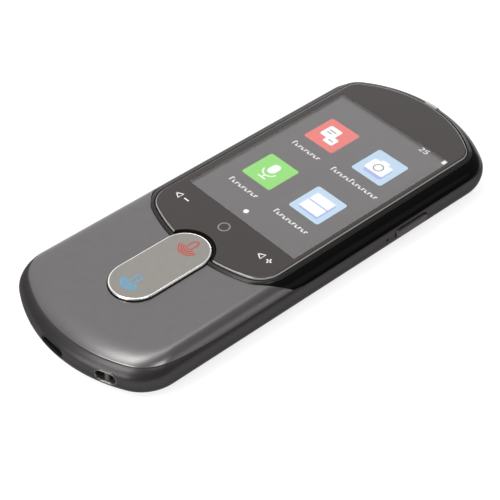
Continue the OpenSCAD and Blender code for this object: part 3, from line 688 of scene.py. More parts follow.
@dataclass(frozen=True)
class CaseForm:
    """The rounded form that the covers and the bezel share."""

    outline: Outline = Outline(30.2, -74.2, 74.2, 48, 13.4, 44.5, 12.6)
    waist: float = 6.2
    top: float = 11.45
    shoulder: float = 6.0
    belly: float = 6.0
    ease: float = 1.7
    skin: float = 1.4
    wall: float = 1.4
    floor: float = 1.5
    seam: float = 8.85
    bezel_seam: float = 8.4
    end_seam: float = 9.95
    step_y: float = -11.1
    step_run: float = 0.9
    end_run: Point2 = (-64.0, -38.0)

    def seam_at(self, y: float) -> float:
        """Height of the parting line at a place along the body, raised at the bottom end."""
        share = min(1.0, max(0.0, (y - self.step_y + self.step_run) / (2 * self.step_run)))
        side = self.seam + (self.bezel_seam - self.seam) * share * share * (3 - 2 * share)
        low, high = self.end_run
        rise = min(1.0, max(0.0, (high - y) / (high - low)))
        return side + (self.end_seam - self.seam) * rise * rise * (3 - 2 * rise)

    def angle_at(self, z: float, inset: float = 0.0) -> float:
        """Angle round the shoulder at a height, in radians."""
        share = (z - self.waist) / (self.top - inset - self.waist)
        return math.asin(min(1.0, max(0.0, share)))

    def shoulder_ring(self, share: float, inset: float = 0.0, lift: float = 0.0) -> list[Point3]:
        """A ring of the shoulder between the parting line and the flat top."""
        starts = [self.angle_at(self.seam_at(y) + lift, inset) for _, y in self.outline.points()]
        return self._ring([start + (QUARTER - start) * share for start in starts], inset, True)

    def below_ring(self, share: float, inset: float = 0.0, drop: float = 0.0) -> list[Point3]:
        """A ring between the waist and the parting line."""
        turns = [self.angle_at(self.seam_at(y) - drop, inset) * share for _, y in self.outline.points()]
        return self._ring(turns, inset, True)

    def belly_ring(self, turn: float, inset: float = 0.0) -> list[Point3]:
        """A ring of the back, from the waist at 0 to the flat at a quarter turn."""
        return self._ring([turn] * len(self.outline.points()), inset, False)

    def _ring(self, turns: list[float], inset: float, above: bool) -> list[Point3]:
        """A ring whose points may each stand at another angle.

        Args:
            turns: The angle of each point in radians.
            inset: How far the form is drawn in.
            above: Whether it lies above the waist.

        Returns:
            The ring.
        """
        rise = (self.top - inset if above else self.floor if inset else 0.0) - self.waist
        width, ease = (self.shoulder, self.ease) if above else (self.belly, 1.0)
        flat = {}
        for turn in set(turns):
            drawn = width * (1 - math.cos(turn))
            flat[turn] = self.outline.grown(-drawn - inset, -ease * drawn - inset).points()
        return [(*flat[turn][i], self.waist + rise * math.sin(turn)) for i, turn in enumerate(turns)]


CASE = CaseForm()
GLASS_OUTLINE = Outline(24.6, -25.7, 69.5, 55, 7.7, 37.5, 5.8)
SWEEP_OUTLINE = Outline(31.2, -27.15, 80, 56.45, 20, 60, 5, steps=40)
SWEEP_BOX = (33, -5.3, 76)
SWEEP_STEP = 0.08


@dataclass(frozen=True)
class RockerPlace:
    """Where the talk rocker sits and how large it is."""

    middle: float = -36.7
    span: float = 16.9
    radius: float = 7.75
    top: float = 12.35
    gap: float = 0.3

    def rings(self, profile: Iterable[Point2]) -> list[list[Point3]]:
        """A ring for each growth and height of a profile."""
        return [level(pill_points(self.middle, self.span, self.radius + grow), z) for grow, z in profile]

    def hole(self, grow: float) -> Shape:
        """A tool shape that reaches past the key by a growth."""
        return Shape().loft(self.rings(((grow, CUT_LOW), (grow, CUT_HIGH))))


ROCKER = RockerPlace()


def sweep_tool(gap: float) -> Shape:
    """Everything on the bezel's side of its swept lower edge.

    Args:
        gap: How far the edge moves down the body.

    Returns:
        The tool shape.
    """
    low = SWEEP_OUTLINE.grown(gap)
    wide, corner_y, far_y = SWEEP_BOX
    right = [(x, y) for x, y in low.points() if x >= 0 and y < corner_y - SWEEP_STEP]
    square = [(wide, corner_y), (wide, far_y), (-wide, far_y), (-wide, corner_y)]
    return cutter(right + square + [(-x, y) for x, y in right[:0:-1]])


@dataclass(frozen=True)
class Places:
    """Where the fittings sit for which the rear cover has openings, in millimetres."""

    key_y: float = 30.9
    eyelet_x: float = 18.4
    eyelet_size: Point2 = (7.0, 4.2)
    eyelet_depth: float = 4.2
    camera_y: float = 50.0
    camera_r: float = 4.6
    flash_x: float = -11.0
    flash_r: float = 1.8

    def eyelet(self) -> Matrix:
        """The eyelet's place: its mouth on the bottom end's arc, pointing inwards.

        Returns:
            The matrix in millimetres.
        """
        arc = CASE.outline.low_arc
        turn = math.asin(self.eyelet_x / arc)
        return moved(0, CASE.outline.low + arc, CASE.waist, turn) @ Matrix.Translation((0, -arc, 0))


PLACES = Places()


@dataclass
class RearCover:
    """The dark rear shell with its openings."""

    form: CaseForm = CASE
    edge: float = 0.08
    groove: float = 0.03
    usb_size: Point2 = (9.24, 3.46)
    key_size: Point2 = (13.2, 3.0)
    key_mouth: float = 30.7
    mouth_depth: float = 3.0
    pocket_depth: float = 2.0
    side_hole: Point2 = (29.5, 21.3)
    low_hole: Point2 = (-11.0, -71.5)
    sound_r: float = 0.45
    grille_y: float = -37.0
    grille_pitch: float = 3.0
    grille_r: float = 0.7
    boss_r: float = 1.9
    boss_top: float = 6.25
    boss_x: float = 24.7
    boss_rows: tuple[float, ...] = (-56.0, -10.0, 14.0, 46.0)
    low_boss: Point3 = (11.0, -58.4, 3.82)
    pocket: Point2 = (14.1, 3.9)
    pocket_x: float = 28.8

    def shell(self) -> Shape:
        """The hollow shell before its openings.

        Returns:
            The shape.
        """
        form = self.form
        outer = [form.belly_ring(QUARTER * i / 16) for i in range(16, 0, -1)]
        outer += [form.below_ring(i / 10, drop=self.edge + self.groove) for i in range(11)]
        lip = [(x * 0.995, y * 0.998, z + self.edge) for x, y, z in outer[-1]]
        inner = [form.below_ring(i / 4, form.wall, drop=self.groove) for i in range(4, -1, -1)]
        inner += [form.belly_ring(QUARTER * i / 10, form.wall) for i in range(1, 11)]
        return Shape().loft(outer + [lip] + inner)

    def build(self) -> None:
        """Build the shell, cut its openings and dress it."""
        piece = self.shell().object("rear_cover_shell")
        waist, key_y, camera_y = self.form.waist, PLACES.key_y, PLACES.camera_y
        pitch = self.grille_pitch
        holes = [(i * pitch, self.grille_y + j * pitch) for i in range(-3, 4) for j in (-1, 0, 1)]
        carve(piece, Cut.AWAY,
              flat_pill(self.usb_size, self.mouth_depth).placed(moved(0, self.form.outline.low, waist)),
              flat_pill(PLACES.eyelet_size, PLACES.eyelet_depth).placed(PLACES.eyelet()),
              flat_pill(self.key_size, self.mouth_depth).placed(moved(self.key_mouth, key_y, waist, QUARTER)),
              flat_pill(self.pocket, self.pocket_depth, 0.0).placed(
                  moved(self.pocket_x, key_y, waist, QUARTER)),
              self._bore(self.sound_r, moved(*self.side_hole, waist, QUARTER, "Y")),
              self._bore(self.sound_r, moved(*self.low_hole, waist, QUARTER, "X")),
              self._bore(PLACES.camera_r, moved(0, camera_y, 0)),
              self._bore(PLACES.flash_r, moved(PLACES.flash_x, camera_y, 0)),
              *(self._bore(self.grille_r, moved(x, y, 0)) for x, y in holes))
        finish_piece(piece, SHELL_PAINT, "rear_paint", "rear_cover")
        pegs = Shape()
        for x, y, top in [(self.boss_x, y, self.boss_top) for y in self.boss_rows] + [self.low_boss]:
            for side in (-1, 1):
                pegs.slab(arc_points((side * x, y), self.boss_r, 0, 345, 23), self.form.floor - 0.2, top)
        finish_piece(pegs.object("rear_cover_bosses"), SHELL_PAINT, "rear_paint")

    @staticmethod
    def _bore(radius: float, place: Matrix) -> Shape:
        """A round tool shape, long enough for a wall."""
        return Shape().slab(arc_points((0, 0), radius, 0, 352.5, 47), -BORE_REACH, BORE_REACH).placed(place)


def pill_section(size: Point2, inset: float = 0.0, steps: int = 16) -> list[Point2]:
    """Length and height of the points of a lying pill, drawn in by an inset."""
    width, height = size
    return [(y, x) for x, y in pill_points(0, width - height, height / 2 - inset, steps)]


def flat_pill(size: Point2, depth: float, out: float = 1.0) -> Shape:
    """A lying round-ended tool shape that runs along Y, from out of its mouth to a depth."""
    return Shape().loft([[(x, y, z) for x, z in pill_section(size)] for y in (-out, depth)])


@dataclass
class FrontSkin:
    """The skin of the front, which the metal cover and the bezel share."""

    form: CaseForm = CASE
    edge: float = 0.06
    lift: float = 0.03

    def solid(self) -> Shape:
        """The skin as one closed shell.

        Returns:
            The shape.
        """
        form = self.form
        start = form.shoulder_ring(0, lift=self.lift + self.edge)
        rim = [(x * 0.996, y * 0.9985, z - self.edge) for x, y, z in start]
        outer = [form.shoulder_ring(i / 22, lift=self.lift + self.edge) for i in range(23)]
        inner = [form.shoulder_ring(i / 8, form.skin, lift=self.lift) for i in range(8, -1, -1)]
        return Shape().loft(inner + [rim] + outer)


@dataclass
class FrontCover:
    """The metal cover round the rocker."""

    gap: float = 0.06

    def build(self) -> None:
        """Build the metal cover and dress it."""
        piece = FrontSkin().solid().object("front_cover_metal")
        rim = GLASS_OUTLINE.grown(Bezel.rim_out + self.gap).points()
        carve(piece, Cut.AWAY, sweep_tool(self.gap), cutter(rim, RIM_SEAT), ROCKER.hole(ROCKER.gap))
        soften(piece)
        finish_piece(piece, COVER_METAL, "front_metal", "front_cover")


@dataclass
class Bezel:
    """The black bezel: its flanks, its raised rim and the shelf for the glass."""

    rim_top: float = 12.0
    rim_in: float = 0.3
    rim_out: float = 1.45
    shelf: float = 11.1
    seat_z: float = 11.0
    notch_wall: float = 0.65
    insert_half: float = 2.3
    insert_run: Point2 = (69.6, 73.0)
    window: tuple[float, float, float, float] = (-23.6, 23.6, -10.0, 56.6)

    def build(self) -> None:
        """Build the flanks and the rim and dress them."""
        flank = FrontSkin().solid().object("bezel_flank")
        seat = cutter(GLASS_OUTLINE.grown(1.0).points(), self.seat_z)
        carve(flank, Cut.KEEP, sweep_tool(0))
        carve(flank, Cut.AWAY, seat, cutter(box_points(*self.window)), ROCKER.hole(ROCKER.gap))
        soften(flank)
        finish_piece(flank, BEZEL_GLOSS, "bezel_gloss", "bezel_frame")
        inside, outside, top, base = self.rim_in, self.rim_out, self.rim_top, self.shelf - 0.4
        profile = ((inside, base), (inside, top - 0.12), (inside + 0.1, top), (inside + 0.25, top - 0.01),
                   (outside - 0.5, top - 0.14), (outside - 0.15, top - 0.25), (outside, top - 0.4),
                   (outside, base))
        rim = Shape().loft(GLASS_OUTLINE.rings(profile), round_trip=True).object("bezel_rim")
        half = self.insert_half
        insert = cutter(box_points(-half, half, *self.insert_run), RIM_SEAT)
        carve(rim, Cut.AWAY, ROCKER.hole(ROCKER.gap), insert)
        finish_piece(rim, RIM_SATIN, "bezel_gloss")
        shelf = Shape().slab(GLASS_OUTLINE.grown(inside + 0.05).points(), self.shelf - 0.6, self.shelf)
        shelf_piece = shelf.object("bezel_shelf")
        carve(shelf_piece, Cut.AWAY, cutter(box_points(*self.window)), ROCKER.hole(ROCKER.gap))
        finish_piece(shelf_piece, BEZEL_GLOSS, "bezel_gloss")
        self._notch()

    def _notch(self) -> None:
        """Build the thin wall between the rocker's hole and the glass."""
        inner, outer, top = ROCKER.gap, ROCKER.gap + self.notch_wall, self.rim_top - 0.2
        rings = ROCKER.rings(((inner, self.shelf), (inner, top), (outer, top), (outer, self.shelf)))
        wall = Shape().loft(rings, round_trip=True).object("bezel_notch_wall")
        carve(wall, Cut.KEEP, cutter(GLASS_OUTLINE.grown(self.rim_in + 0.1).points(), 9.0))
        finish_piece(wall, BEZEL_GLOSS, "bezel_gloss")


# ---------------------------------------------------------------- glass and display

@dataclass
class CoverGlass:
    """The cover glass, a painted highlight along its rounded edge, its black border print and the marks on
    it.
    """

    low: float = 11.33
    lean: Point2 = (0.476, -0.406)
    joint: float = 0.003
    edge: tuple[Point2, ...] = ((0.0, 11.85), (-0.04, 12.04), (-0.15, 12.2), (-0.35, 12.32), (-0.6, 12.38),
                                (-0.9, 12.4))
    # Profile of the pale skin that paints the highlight on the glass's edge.
    highlight_line: tuple[Point2, ...] = ((-0.06, 11.9), (0.006, 11.92), (-0.034, 12.046), (-0.146, 12.206),
                                     (-0.3, 12.31), (-0.34, 12.27))
    window: tuple[float, float, float, float] = (-22.5, 22.5, -7.6, 54.3)
    notch: float = 1.25
    print_z: float = 11.315
    mark_z: float = 12.404
    home: Point2 = (0.0, -13.6)
    home_r: float = 1.65
    minus_mark: Point2 = (-17.9, -13.9)
    plus_mark: Point2 = (17.3, -13.7)
    stroke: float = 0.44

    def build(self) -> None:
        """Build the glass, the painted highlight on its edge, the print and the marks."""
        top = self.edge[-1][1]
        glass = Shape().loft(GLASS_OUTLINE.rings(((0.0, self.low), *self.edge))).object("cover_glass_border")
        carve(glass, Cut.AWAY, ROCKER.hole(self.notch), self._pane(self.low - 0.5, top + 0.5, 0.0))
        # The border is opaque: the print's black plus a painted reflection in its base colour.
        finish_piece(glass, GLASS_BLACK_AND_SHEEN, "glass", "cover_glass")
        # A pale skin just over the glass's rounded edge: a painted highlight, not part of the glass.
        edge = Shape().loft(GLASS_OUTLINE.rings(self.highlight_line), round_trip=True).object("cover_glass_edge_highlight")
        carve(edge, Cut.AWAY, ROCKER.hole(self.notch))
        finish_piece(edge, GLASS_EDGE_HIGHLIGHT, "glass")
        finish_piece(self._pane(self.low, top, -self.joint).object("cover_glass_pane"), COVER_GLASS, "glass")
        film = Shape().slab(GLASS_OUTLINE.grown(-0.1).points(), self.print_z - 0.01, self.print_z)
        border = film.object("border_print")
        carve(border, Cut.AWAY, ROCKER.hole(self.notch + 0.1), cutter(rounded_box(*self.window, 0.15, 2)))
        finish_piece(border, PRINT_BLACK, "black_plastic")
        ring = band(arc_points(self.home, self.home_r, 0, 360, 40), 0.45)
        lay_flat("home_ring", [ring], self.mark_z, PRINT_GREY, "glass")
        lay_flat("volume_marks", self._volume_marks(), self.mark_z, PRINT_WHITE, "glass")

    def _pane(self, z0: float, z1: float, grow: float) -> Shape:
        """The clear part of the glass over the window, whose sides lean.

        Args:
            z0: Low height.
            z1: High height.
            grow: How far it reaches past the window.

        Returns:
            The shape.
        """
        x0, x1, y0, y1 = self.window
        corners = box_points(x0 - grow, x1 + grow, y0 - grow, y1 + grow)
        rings = []
        for z in (z0, z1):
            share = (z - self.low) / (self.edge[-1][1] - self.low)
            rings.append([(x + self.lean[0] * share, y + self.lean[1] * share, z) for x, y in corners])
        return Shape().loft(rings)

    def _volume_marks(self) -> list[list[Point2]]:
        """The wedge, the minus and the plus.

        Returns:
            Their outlines.
        """
        strokes = []
        for x, y in (self.minus_mark, self.plus_mark):
            tip = (x - 2.6, y - 0.1)
            strokes += [[tip, (x - 0.7, y + 0.95), (x - 0.7, y - 1.15), tip], [(x + 0.7, y), (x + 2.6, y)]]
        x, y = self.plus_mark
        strokes.append([(x + 1.65, y - 0.95), (x + 1.65, y + 0.95)])
        return [band(path, self.stroke) for path in strokes]


@dataclass
class Display:
    """What the lit display shows: a grey home page with four plain tiles."""

    face_z: float = 11.12
    window: tuple[float, float, float, float] = (-22.9, 22.9, -8.0, 54.7)
    # The page leaves a strip of the window free at the left and top, where the painted shade goes.
    page: tuple[float, float, float, float] = (-21.3, 22.9, -8.0, 53.0)
    tile: float = 12.1
    columns: Point2 = (-9.95, 10.4)
    rows: Point2 = (12.8, 37.7)
    layer: float = 0.012
    page_dot: Point2 = (-1.5, -4.1)
    label_drop: float = 10.5
    label_height: float = 1.5
    letter: float = 1.3
    digit_stroke: float = 0.34
    charge: Point2 = (12.3, 52.0)

    def build(self) -> None:
        """Build the page, a strip of painted shade along its left and top edges, its tiles, its bars and its
        signs.
        """
        left, right = self.columns
        low, high = self.rows
        half = self.tile / 2
        # A dimmer strip along the left and top edges only: painted shade from the recessed display's border.
        self._layer("far_edge_shade", [box_points(*self.window)], SCREEN_EDGE_SHADE, 0)
        self._layer("page", [box_points(*self.page)], SCREEN, 1)
        for name, x, y, finish in (("red", left, high, TILE_RED), ("blue", right, high, TILE_BLUE),
                                   ("green", left, low, TILE_GREEN), ("sky", right, low, TILE_SKY)):
            self._layer(f"tile_{name}", [rounded_box(x - half, x + half, y - half, y + half, 0.8)], finish, 2)
        self._layer("sign_shades", self._shades(), TILE_SHADE, 3)
        self._layer("signs", self._signs(), SCREEN_WHITE, 4)
        self._layer("sign_lines", self._lines(), SCREEN, 5)
        self._layer("labels", self._labels(), SCREEN_FAINT, 2)

    def _shades(self) -> list[list[Point2]]:
        """The soft shades low and to the right of the signs on the blue tiles."""
        right, (low, high) = self.columns[1], self.rows
        return [rounded_box(right - 3.6, right + 4.2, low - 4.5, low + 3.3, 0.5),
                rounded_box(right - 3.2, right + 4.0, high - 4.2, high + 1.6, 0.8)]

    def _signs(self) -> list[list[Point2]]:
        """The plain white signs on the tiles and the page dot.

        Returns:
            Their outlines.
        """
        left, right = self.columns
        low, high = self.rows
        signs = [arc_points(self.page_dot, 0.85, 0, 345, 23)]
        for x, y, x0, x1, y0, y1, radius in (
                (right, low, -4.0, 3.6, 0.35, 3.8, 0.3), (right, low, -4.0, 3.6, -3.8, -0.05, 0.3),
                (left, low, -1.45, 1.45, -0.7, 3.7, 1.4), (right, high, -3.9, 3.5, -3.0, 2.2, 0.7),
                (right, high, -1.7, 1.3, 2.0, 3.2, 0.4), (left, high, -3.6, 1.4, -1.8, 3.4, 0.7),
                (left, high, -0.6, 3.4, -3.6, -0.2, 0.6)):
            signs.append(rounded_box(x + x0, x + x1, y + y0, y + y1, radius))
        return signs + [band(arc_points((left, low + 0.4), 2.5, 190, 350, 16), 0.45),
                        band([(left, low - 2.0), (left, low - 3.4)], 0.5),
                        band([(left - 1.5, low - 3.5), (left + 1.5, low - 3.5)], 0.5)]

    def _lines(self) -> list[list[Point2]]:
        """The thin grey lines inside the white signs.

        Returns:
            Their outlines.
        """
        left, right = self.columns
        high = self.rows[1]
        return [band(arc_points((right - 0.2, high - 0.4), 1.5, 0, 360, 28), 0.3),
                band([(left - 2.4, high + 1.6), (left + 0.2, high + 1.6)], 0.35),
                band([(left - 2.4, high + 0.4), (left - 0.6, high + 0.4)], 0.35),
                band([(left + 0.6, high - 2.0), (left + 2.4, high - 2.0)], 0.35)]

    def _labels(self) -> list[list[Point2]]:
        """Rows of plain strokes where the labels stand, the charge's number and its sign.

        Returns:
            Their outlines.
        """
        strokes = []
        left, right = self.columns
        for x0, x1, row, tall in ((left - 5.7, left + 5.9, 1, 1), (right - 9.3, right + 9.6, 1, 6),
                                  (left - 5.8, left + 6.3, 0, 1), (right - 6.8, right + 7.0, 0, 1)):
            y = self.rows[row] - self.label_drop - self.label_height / 2
            count = round((x1 - x0) / self.letter)
            pitch = (x1 - x0) / count
            for i in range(count):
                is_tall = i == 0 or (1 < tall and i == tall)
                height = self.label_height * (1.25 if is_tall else 0.8)
                x, foot = x0 + i * pitch, y + (0.0 if i % 2 else height - 0.36)
                strokes += [rounded_box(x, x + 0.4, y, y + height, 0.12, 2),
                            rounded_box(x + 0.4, x + pitch - 0.3, foot, foot + 0.36, 0.1, 2)]
        strokes += self._digits()
        strokes.append(rounded_box(20.9, 22.1, 52.4, 54.1, 0.15))
        return strokes

    def _digits(self) -> list[list[Point2]]:
        """The charge in plain numbers.

        Returns:
            The strokes' outlines.
        """
        x, y = self.charge
        two = [(0, 1.5), (0.5, 1.7), (1.1, 1.5), (1.1, 1.1), (0, 0), (1.2, 0)]
        five = [(1.2, 1.7), (0.1, 1.7), (0.05, 0.95), (0.7, 1.05), (1.2, 0.7), (1.05, 0.15), (0.5, 0),
                (0, 0.15)]
        return [band([(x + shift + a, y + b) for a, b in path], self.digit_stroke)
                for shift, path in ((0, two), (1.75, five))]

    def _layer(self, name: str, outlines: list[list[Point2]], finish: LitFinish, count: int) -> None:
        """Lay flat shapes on the display, a count of layers up."""
        lay_flat(f"display_{name}", outlines, self.face_z + count * self.layer, finish, "panel")


# ---------------------------------------------------------------- keys and fittings

@dataclass
class TalkRocker:
    """The metal rocker key with its polished chamfer and its two printed marks."""

    low: float = 9.45
    chamfer: float = 0.5
    drop: float = 0.42
    red_y: float = -26.4
    blue_y: float = -46.5

    def build(self) -> None:
        """Build the key, the chamfer and the marks."""
        top, face = ROCKER.top, -self.chamfer
        turns = [QUARTER * i / 6 for i in range(1, 7)]
        round_edge = ((face * (1 - math.cos(turn)), top - self.drop + (self.drop - 0.03) * math.sin(turn))
                      for turn in turns)
        sides = ROCKER.rings(((0.0, self.low), (0.0, top - self.drop), *round_edge))
        chamfer = Shape().loft(sides).object("rocker_key_chamfer")
        finish_piece(chamfer, ROCKER_CHROME, "key_metal", "rocker_key", body=Body.ROCKER, angle=25)
        lid = Shape().loft(ROCKER.rings(((face, top - 0.6), (face, top - 0.03), (face - 0.12, top))))
        finish_piece(lid.object("rocker_key_face"), ROCKER_METAL, "key_metal", body=Body.ROCKER, angle=25)
        for name, y, finish in (("red", self.red_y, RED_PRINT), ("blue", self.blue_y, BLUE_PRINT)):
            lay_flat(f"rocker_mark_{name}", self._mark(y), top + 0.012, finish, "key_metal", Body.ROCKER)

    @staticmethod
    def _mark(y: float) -> list[list[Point2]]:
        """A plain microphone sign with sound arcs.

        Args:
            y: Its middle along the body.

        Returns:
            Its outlines.
        """
        capsule = pill_points(y + 1.3, 1.9, 0.95, 10)
        arcs = [arc_points((0, y + 0.3), radius, 192, 348, 18) for radius in (1.75, 2.5, 3.25)]
        return [band(capsule + capsule[:1], 0.45)] + [band(arc, 0.46) for arc in arcs]


@dataclass
class SideFittings:
    """The side key, the charging socket, the lanyard eyelet and the light insert."""

    key_size: Point2 = (12.6, 2.4)
    key_face: float = 30.65
    flange_x: float = 28.0
    socket_size: Point2 = (8.94, 3.16)
    socket_y: float = -73.7
    socket_depth: float = 7.3
    sheet: float = 0.3
    tongue: Point2 = (3.35, 0.35)
    eyelet_wall: float = 0.5
    post_r: float = 0.75
    post_spread: float = 1.25
    post_depth: float = 1.5

    def build(self) -> None:
        """Build and dress them all."""
        self._side_key()
        self._socket()
        self._eyelet()
        self._light_insert()

    def _side_key(self) -> None:
        """Build the side key with soft edges."""
        def ring(x: float, inset: float) -> list[Point3]:
            """A ring of the key's outline at a depth."""
            return [(x, PLACES.key_y + a, CASE.waist + b) for a, b in pill_section(self.key_size, inset)]
        profile = ((-2.1, 0.0), (-0.32, 0.0), (-0.1, 0.1), (0.0, 0.32))
        cap = [ring(self.key_face + out, inset) for out, inset in profile]
        flange = [ring(self.flange_x + dx, -0.6) for dx in (0.0, 0.7)]
        piece = Shape().loft(cap).loft(flange).object("side_key_cap")
        finish_piece(piece, KEY_DARK, "key_dark", "side_key", body=Body.SIDE_KEY)

    def _socket(self) -> None:
        """Build the socket's shell, its tongue and its contacts."""
        sheet, depth, waist = self.sheet, self.socket_depth, CASE.waist
        back = self.socket_y + depth - 0.8
        rings = [[(a, self.socket_y + y, waist - b) for a, b in pill_section(self.socket_size, inset)]
                 for inset, y in ((0.0, depth), (0.0, 0.06), (0.06, 0.0), (sheet - 0.06, 0.0), (sheet, 0.06),
                                  (sheet, depth - 0.8))]
        # The shell's steel takes a darkened colour: painted shade inside the port.
        finish_piece(Shape().loft(rings).object("usb_socket_shell"), SOCKET_SHADED_STEEL, "steel", "usb_shell")
        blade = []
        for cut, y in ((0.0, back), (0.0, back - 5.1), (0.08, back - 5.3)):
            half, thick = (size - cut for size in self.tongue)
            section = rounded_box(-half, half, -thick, thick, 0.12, 3)
            blade.append([(x, y, waist + z) for x, z in section])
        tongue = Shape().loft(blade).object("usb_socket_tongue")
        finish_piece(tongue, BLACK_PLASTIC, "black_plastic", "usb_tongue")
        contacts = Shape()
        for side in (-1, 1):
            for i in range(12):
                x, z = -2.75 + 0.5 * i, waist + side * 0.352
                contacts.loft([[(a, y, b) for a, b in box_points(x - 0.12, x + 0.12, z - 0.02, z + 0.02)]
                               for y in (back - 4.6, back - 1.0)])
        finish_piece(contacts.object("usb_socket_contacts"), CONTACT, "contact")

    def _eyelet(self) -> None:
        """Build the eyelet insert and its post."""
        wall, depth = self.eyelet_wall, PLACES.eyelet_depth
        rings = [[(a, y, -b) for a, b in pill_section(PLACES.eyelet_size, inset, 20)]
                 for inset, y in ((0.0, depth), (0.0, 0.45), (0.08, 0.28), (0.24, 0.28), (wall - 0.08, 0.6),
                                  (wall, 0.9), (wall, depth - wall))]
        cup = Shape().loft(rings).placed(PLACES.eyelet()).object("lanyard_eyelet_cup")
        finish_piece(cup, EYELET_DARK, "eyelet_metal", "lanyard_eyelet")
        half = PLACES.eyelet_size[1] / 2 - wall
        posts = []
        for z, swell in ((-half, 1.0), (-half + 0.3, 0.86), (0, 0.82), (half - 0.3, 0.86), (half, 1.0)):
            circle = arc_points((0, self.post_depth), self.post_r * swell, 0, 345, 23)
            posts.append([(x * self.post_spread, y, z) for x, y in circle])
        post = Shape().loft(posts).placed(PLACES.eyelet()).object("lanyard_post_pin")
        finish_piece(post, EYELET_METAL, "eyelet_metal", "lanyard_post")

    @staticmethod
    def _light_insert() -> None:
        """Build the pale insert that crosses the rim at the top end."""
        profile = [(69.8, 11.0), (69.8, 11.9), (69.95, 12.0), (70.6, 12.0), (70.95, 11.86),
                   (72.12, 10.28), (72.1, 10.05), (70.5, 10.05)]
        rings = [[(x, y, z) for y, z in profile] for x in (-2.28, -2.2, 2.2, 2.28)]
        piece = Shape().loft(rings).object("status_light_insert")
        finish_piece(piece, LENS, "lens", "status_light_guide", angle=25)


@dataclass
class RearCamera:
    """The camera and the flash on the back."""

    ring_w: float = 0.8
    seat_r: float = 2.8
    window_r: float = 3.78

    def build(self) -> None:
        """Build the ring, the window, the lens and the flash."""
        outer, inner, seat, pane = PLACES.camera_r, PLACES.camera_r - self.ring_w, self.seat_r, self.window_r
        ring = ((outer, 1.5), (outer, 0.16), (outer - 0.12, 0.05), (inner + 0.1, 0.05), (inner, 0.15),
                (inner, 1.1), (seat, 1.1), (seat, 1.5))
        window = ((pane, 1.1), (pane, 0.36), (pane - 0.06, 0.3))
        lens = ((2.6, 1.9), (2.6, 1.14), (2.2, 1.12), (1.9, 1.3), (1.2, 1.26), (0.5, 1.2))
        side = PLACES.flash_r - 0.02
        flash = ((side, 1.5), (side, 0.25), (side - 0.1, 0.16), (1.3, 0.16), (1.1, 0.3), (0.9, 0.16),
                 (0.6, 0.3), (0.4, 0.16))
        turned = self._turned("camera_ring_turned", ring, hollow=True)
        finish_piece(turned, ROCKER_METAL, "key_metal", "camera_ring")
        finish_piece(self._turned("camera_window_pane", window), WINDOW_GLASS, "glass", "camera_window")
        finish_piece(self._turned("camera_lens", lens), DARK_GLASS, "lens")
        finish_piece(self._turned("flash_lens_turned", flash, PLACES.flash_x), LENS, "lens", "flash_lens")

    @staticmethod
    def _turned(name: str, profile: tuple[Point2, ...], x: float = 0.0,
                hollow: bool = False) -> bpy.types.Object:
        """Turn a profile round an upright axis.

        Args:
            name: The piece's name.
            profile: Radius and height, ring by ring.
            x: Sideways place of the axis.
            hollow: Whether the last ring joins the first one.

        Returns:
            The piece.
        """
        centre = (x, PLACES.camera_y)
        rings = [level(arc_points(centre, radius, 0, 352.5, 47), z) for radius, z in profile]
        return Shape().loft(rings, round_trip=hollow).object(name)


class InnerParts:
    """The carried-over pieces inside the case, each with the finish of its stuff."""

    FINISHES: dict[str, Finish] = {
        "glass_adhesive": BLACK_PLASTIC, "display_panel": PANEL, "backlight_unit": WHITE_PLASTIC,
        "display_foam": FOAM, "display_flex": FLEX, "display_connector": WHITE_PLASTIC,
        "chassis": SHEET_METAL, "chassis_screws": STEEL, "main_board": BOARD, "shield_cans": SHEET_METAL,
        "side_microphone": CONTACT, "battery": FOIL, "battery_pad": FOAM, "link_flex": FLEX,
        "speaker_box": BLACK_PLASTIC, "speaker_mesh": MESH, "socket_board": BOARD,
        "socket_board_screws": STEEL, "lower_microphone": CONTACT, "rocker_carrier": BLACK_PLASTIC,
        "rocker_bearings": BLACK_PLASTIC, "rocker_board": FLEX, "talk_switches": SHEET_METAL,
        "side_switch": SHEET_METAL, "side_switch_plunger": WHITE_PLASTIC, "camera_module": BLACK_PLASTIC,
        "flash_lamp": LAMP, "antenna_flex": FLEX, "vibration_motor": SHEET_METAL,
    }

    def build(self) -> None:
        """Dress every carried-over node."""
        for name, finish in self.FINISHES.items():
            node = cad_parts[name]
            node.data.materials.clear()
            node.data.materials.append(finish.material())
            LOG.info("%s carried over", name)


# ---------------------------------------------------------------- studio

@dataclass(frozen=True)
class Lamp:
    """A soft oval light that faces the object."""

    name: str
    towards: Point3
    long_side: Point3
    size: Point2
    glow: float
    distance: float = 1.2

    def hang(self) -> None:
        """Hang the light."""
        light = bpy.data.lights.new(self.name, "AREA")
        light.shape = "ELLIPSE"
        light.size, light.size_y = self.size
        light.energy = self.glow * math.pi * math.pi * self.size[0] * self.size[1] / 4
        lamp = bpy.data.objects.new(self.name, light)
        back = Vector(self.towards).normalized()
        side = Vector(self.long_side).cross(back).normalized()
        turn = Matrix((side, back.cross(side), back)).transposed().to_4x4()
        lamp.matrix_world = Matrix.Translation(back * self.distance) @ turn
        bpy.context.scene.collection.objects.link(lamp)


LAMPS = (Lamp("overhead", (-0.28, -0.12, 0.955), (0.0, 1.0, 0.05), (0.24, 0.46), 6.2),
         Lamp("overhead_strip", (-0.29, 0.02, 0.957), (0.0, 1.0, 0.0), (0.22, 1.2), 2.9),
         Lamp("corner", (0.38, -0.02, 0.92), (0.0, 1.0, 0.0), (0.3, 0.36), 7.0),
         Lamp("far_side", (0.66, 0.46, 0.6), (0.3, 0.3, -0.5), (0.5, 0.6), 0.85),
         Lamp("front", (-0.1, -0.58, 0.8), (1.0, 0.0, 0.0), (0.34, 0.46), 12.5),
         Lamp("front_low", (-0.05, -0.9, 0.42), (1.0, 0.0, 0.0), (0.5, 0.8), 5.5),
         Lamp("rear", (-0.56, 0.77, 0.32), (1.0, 0.7, 0.0), (0.3, 0.9), 3.4))


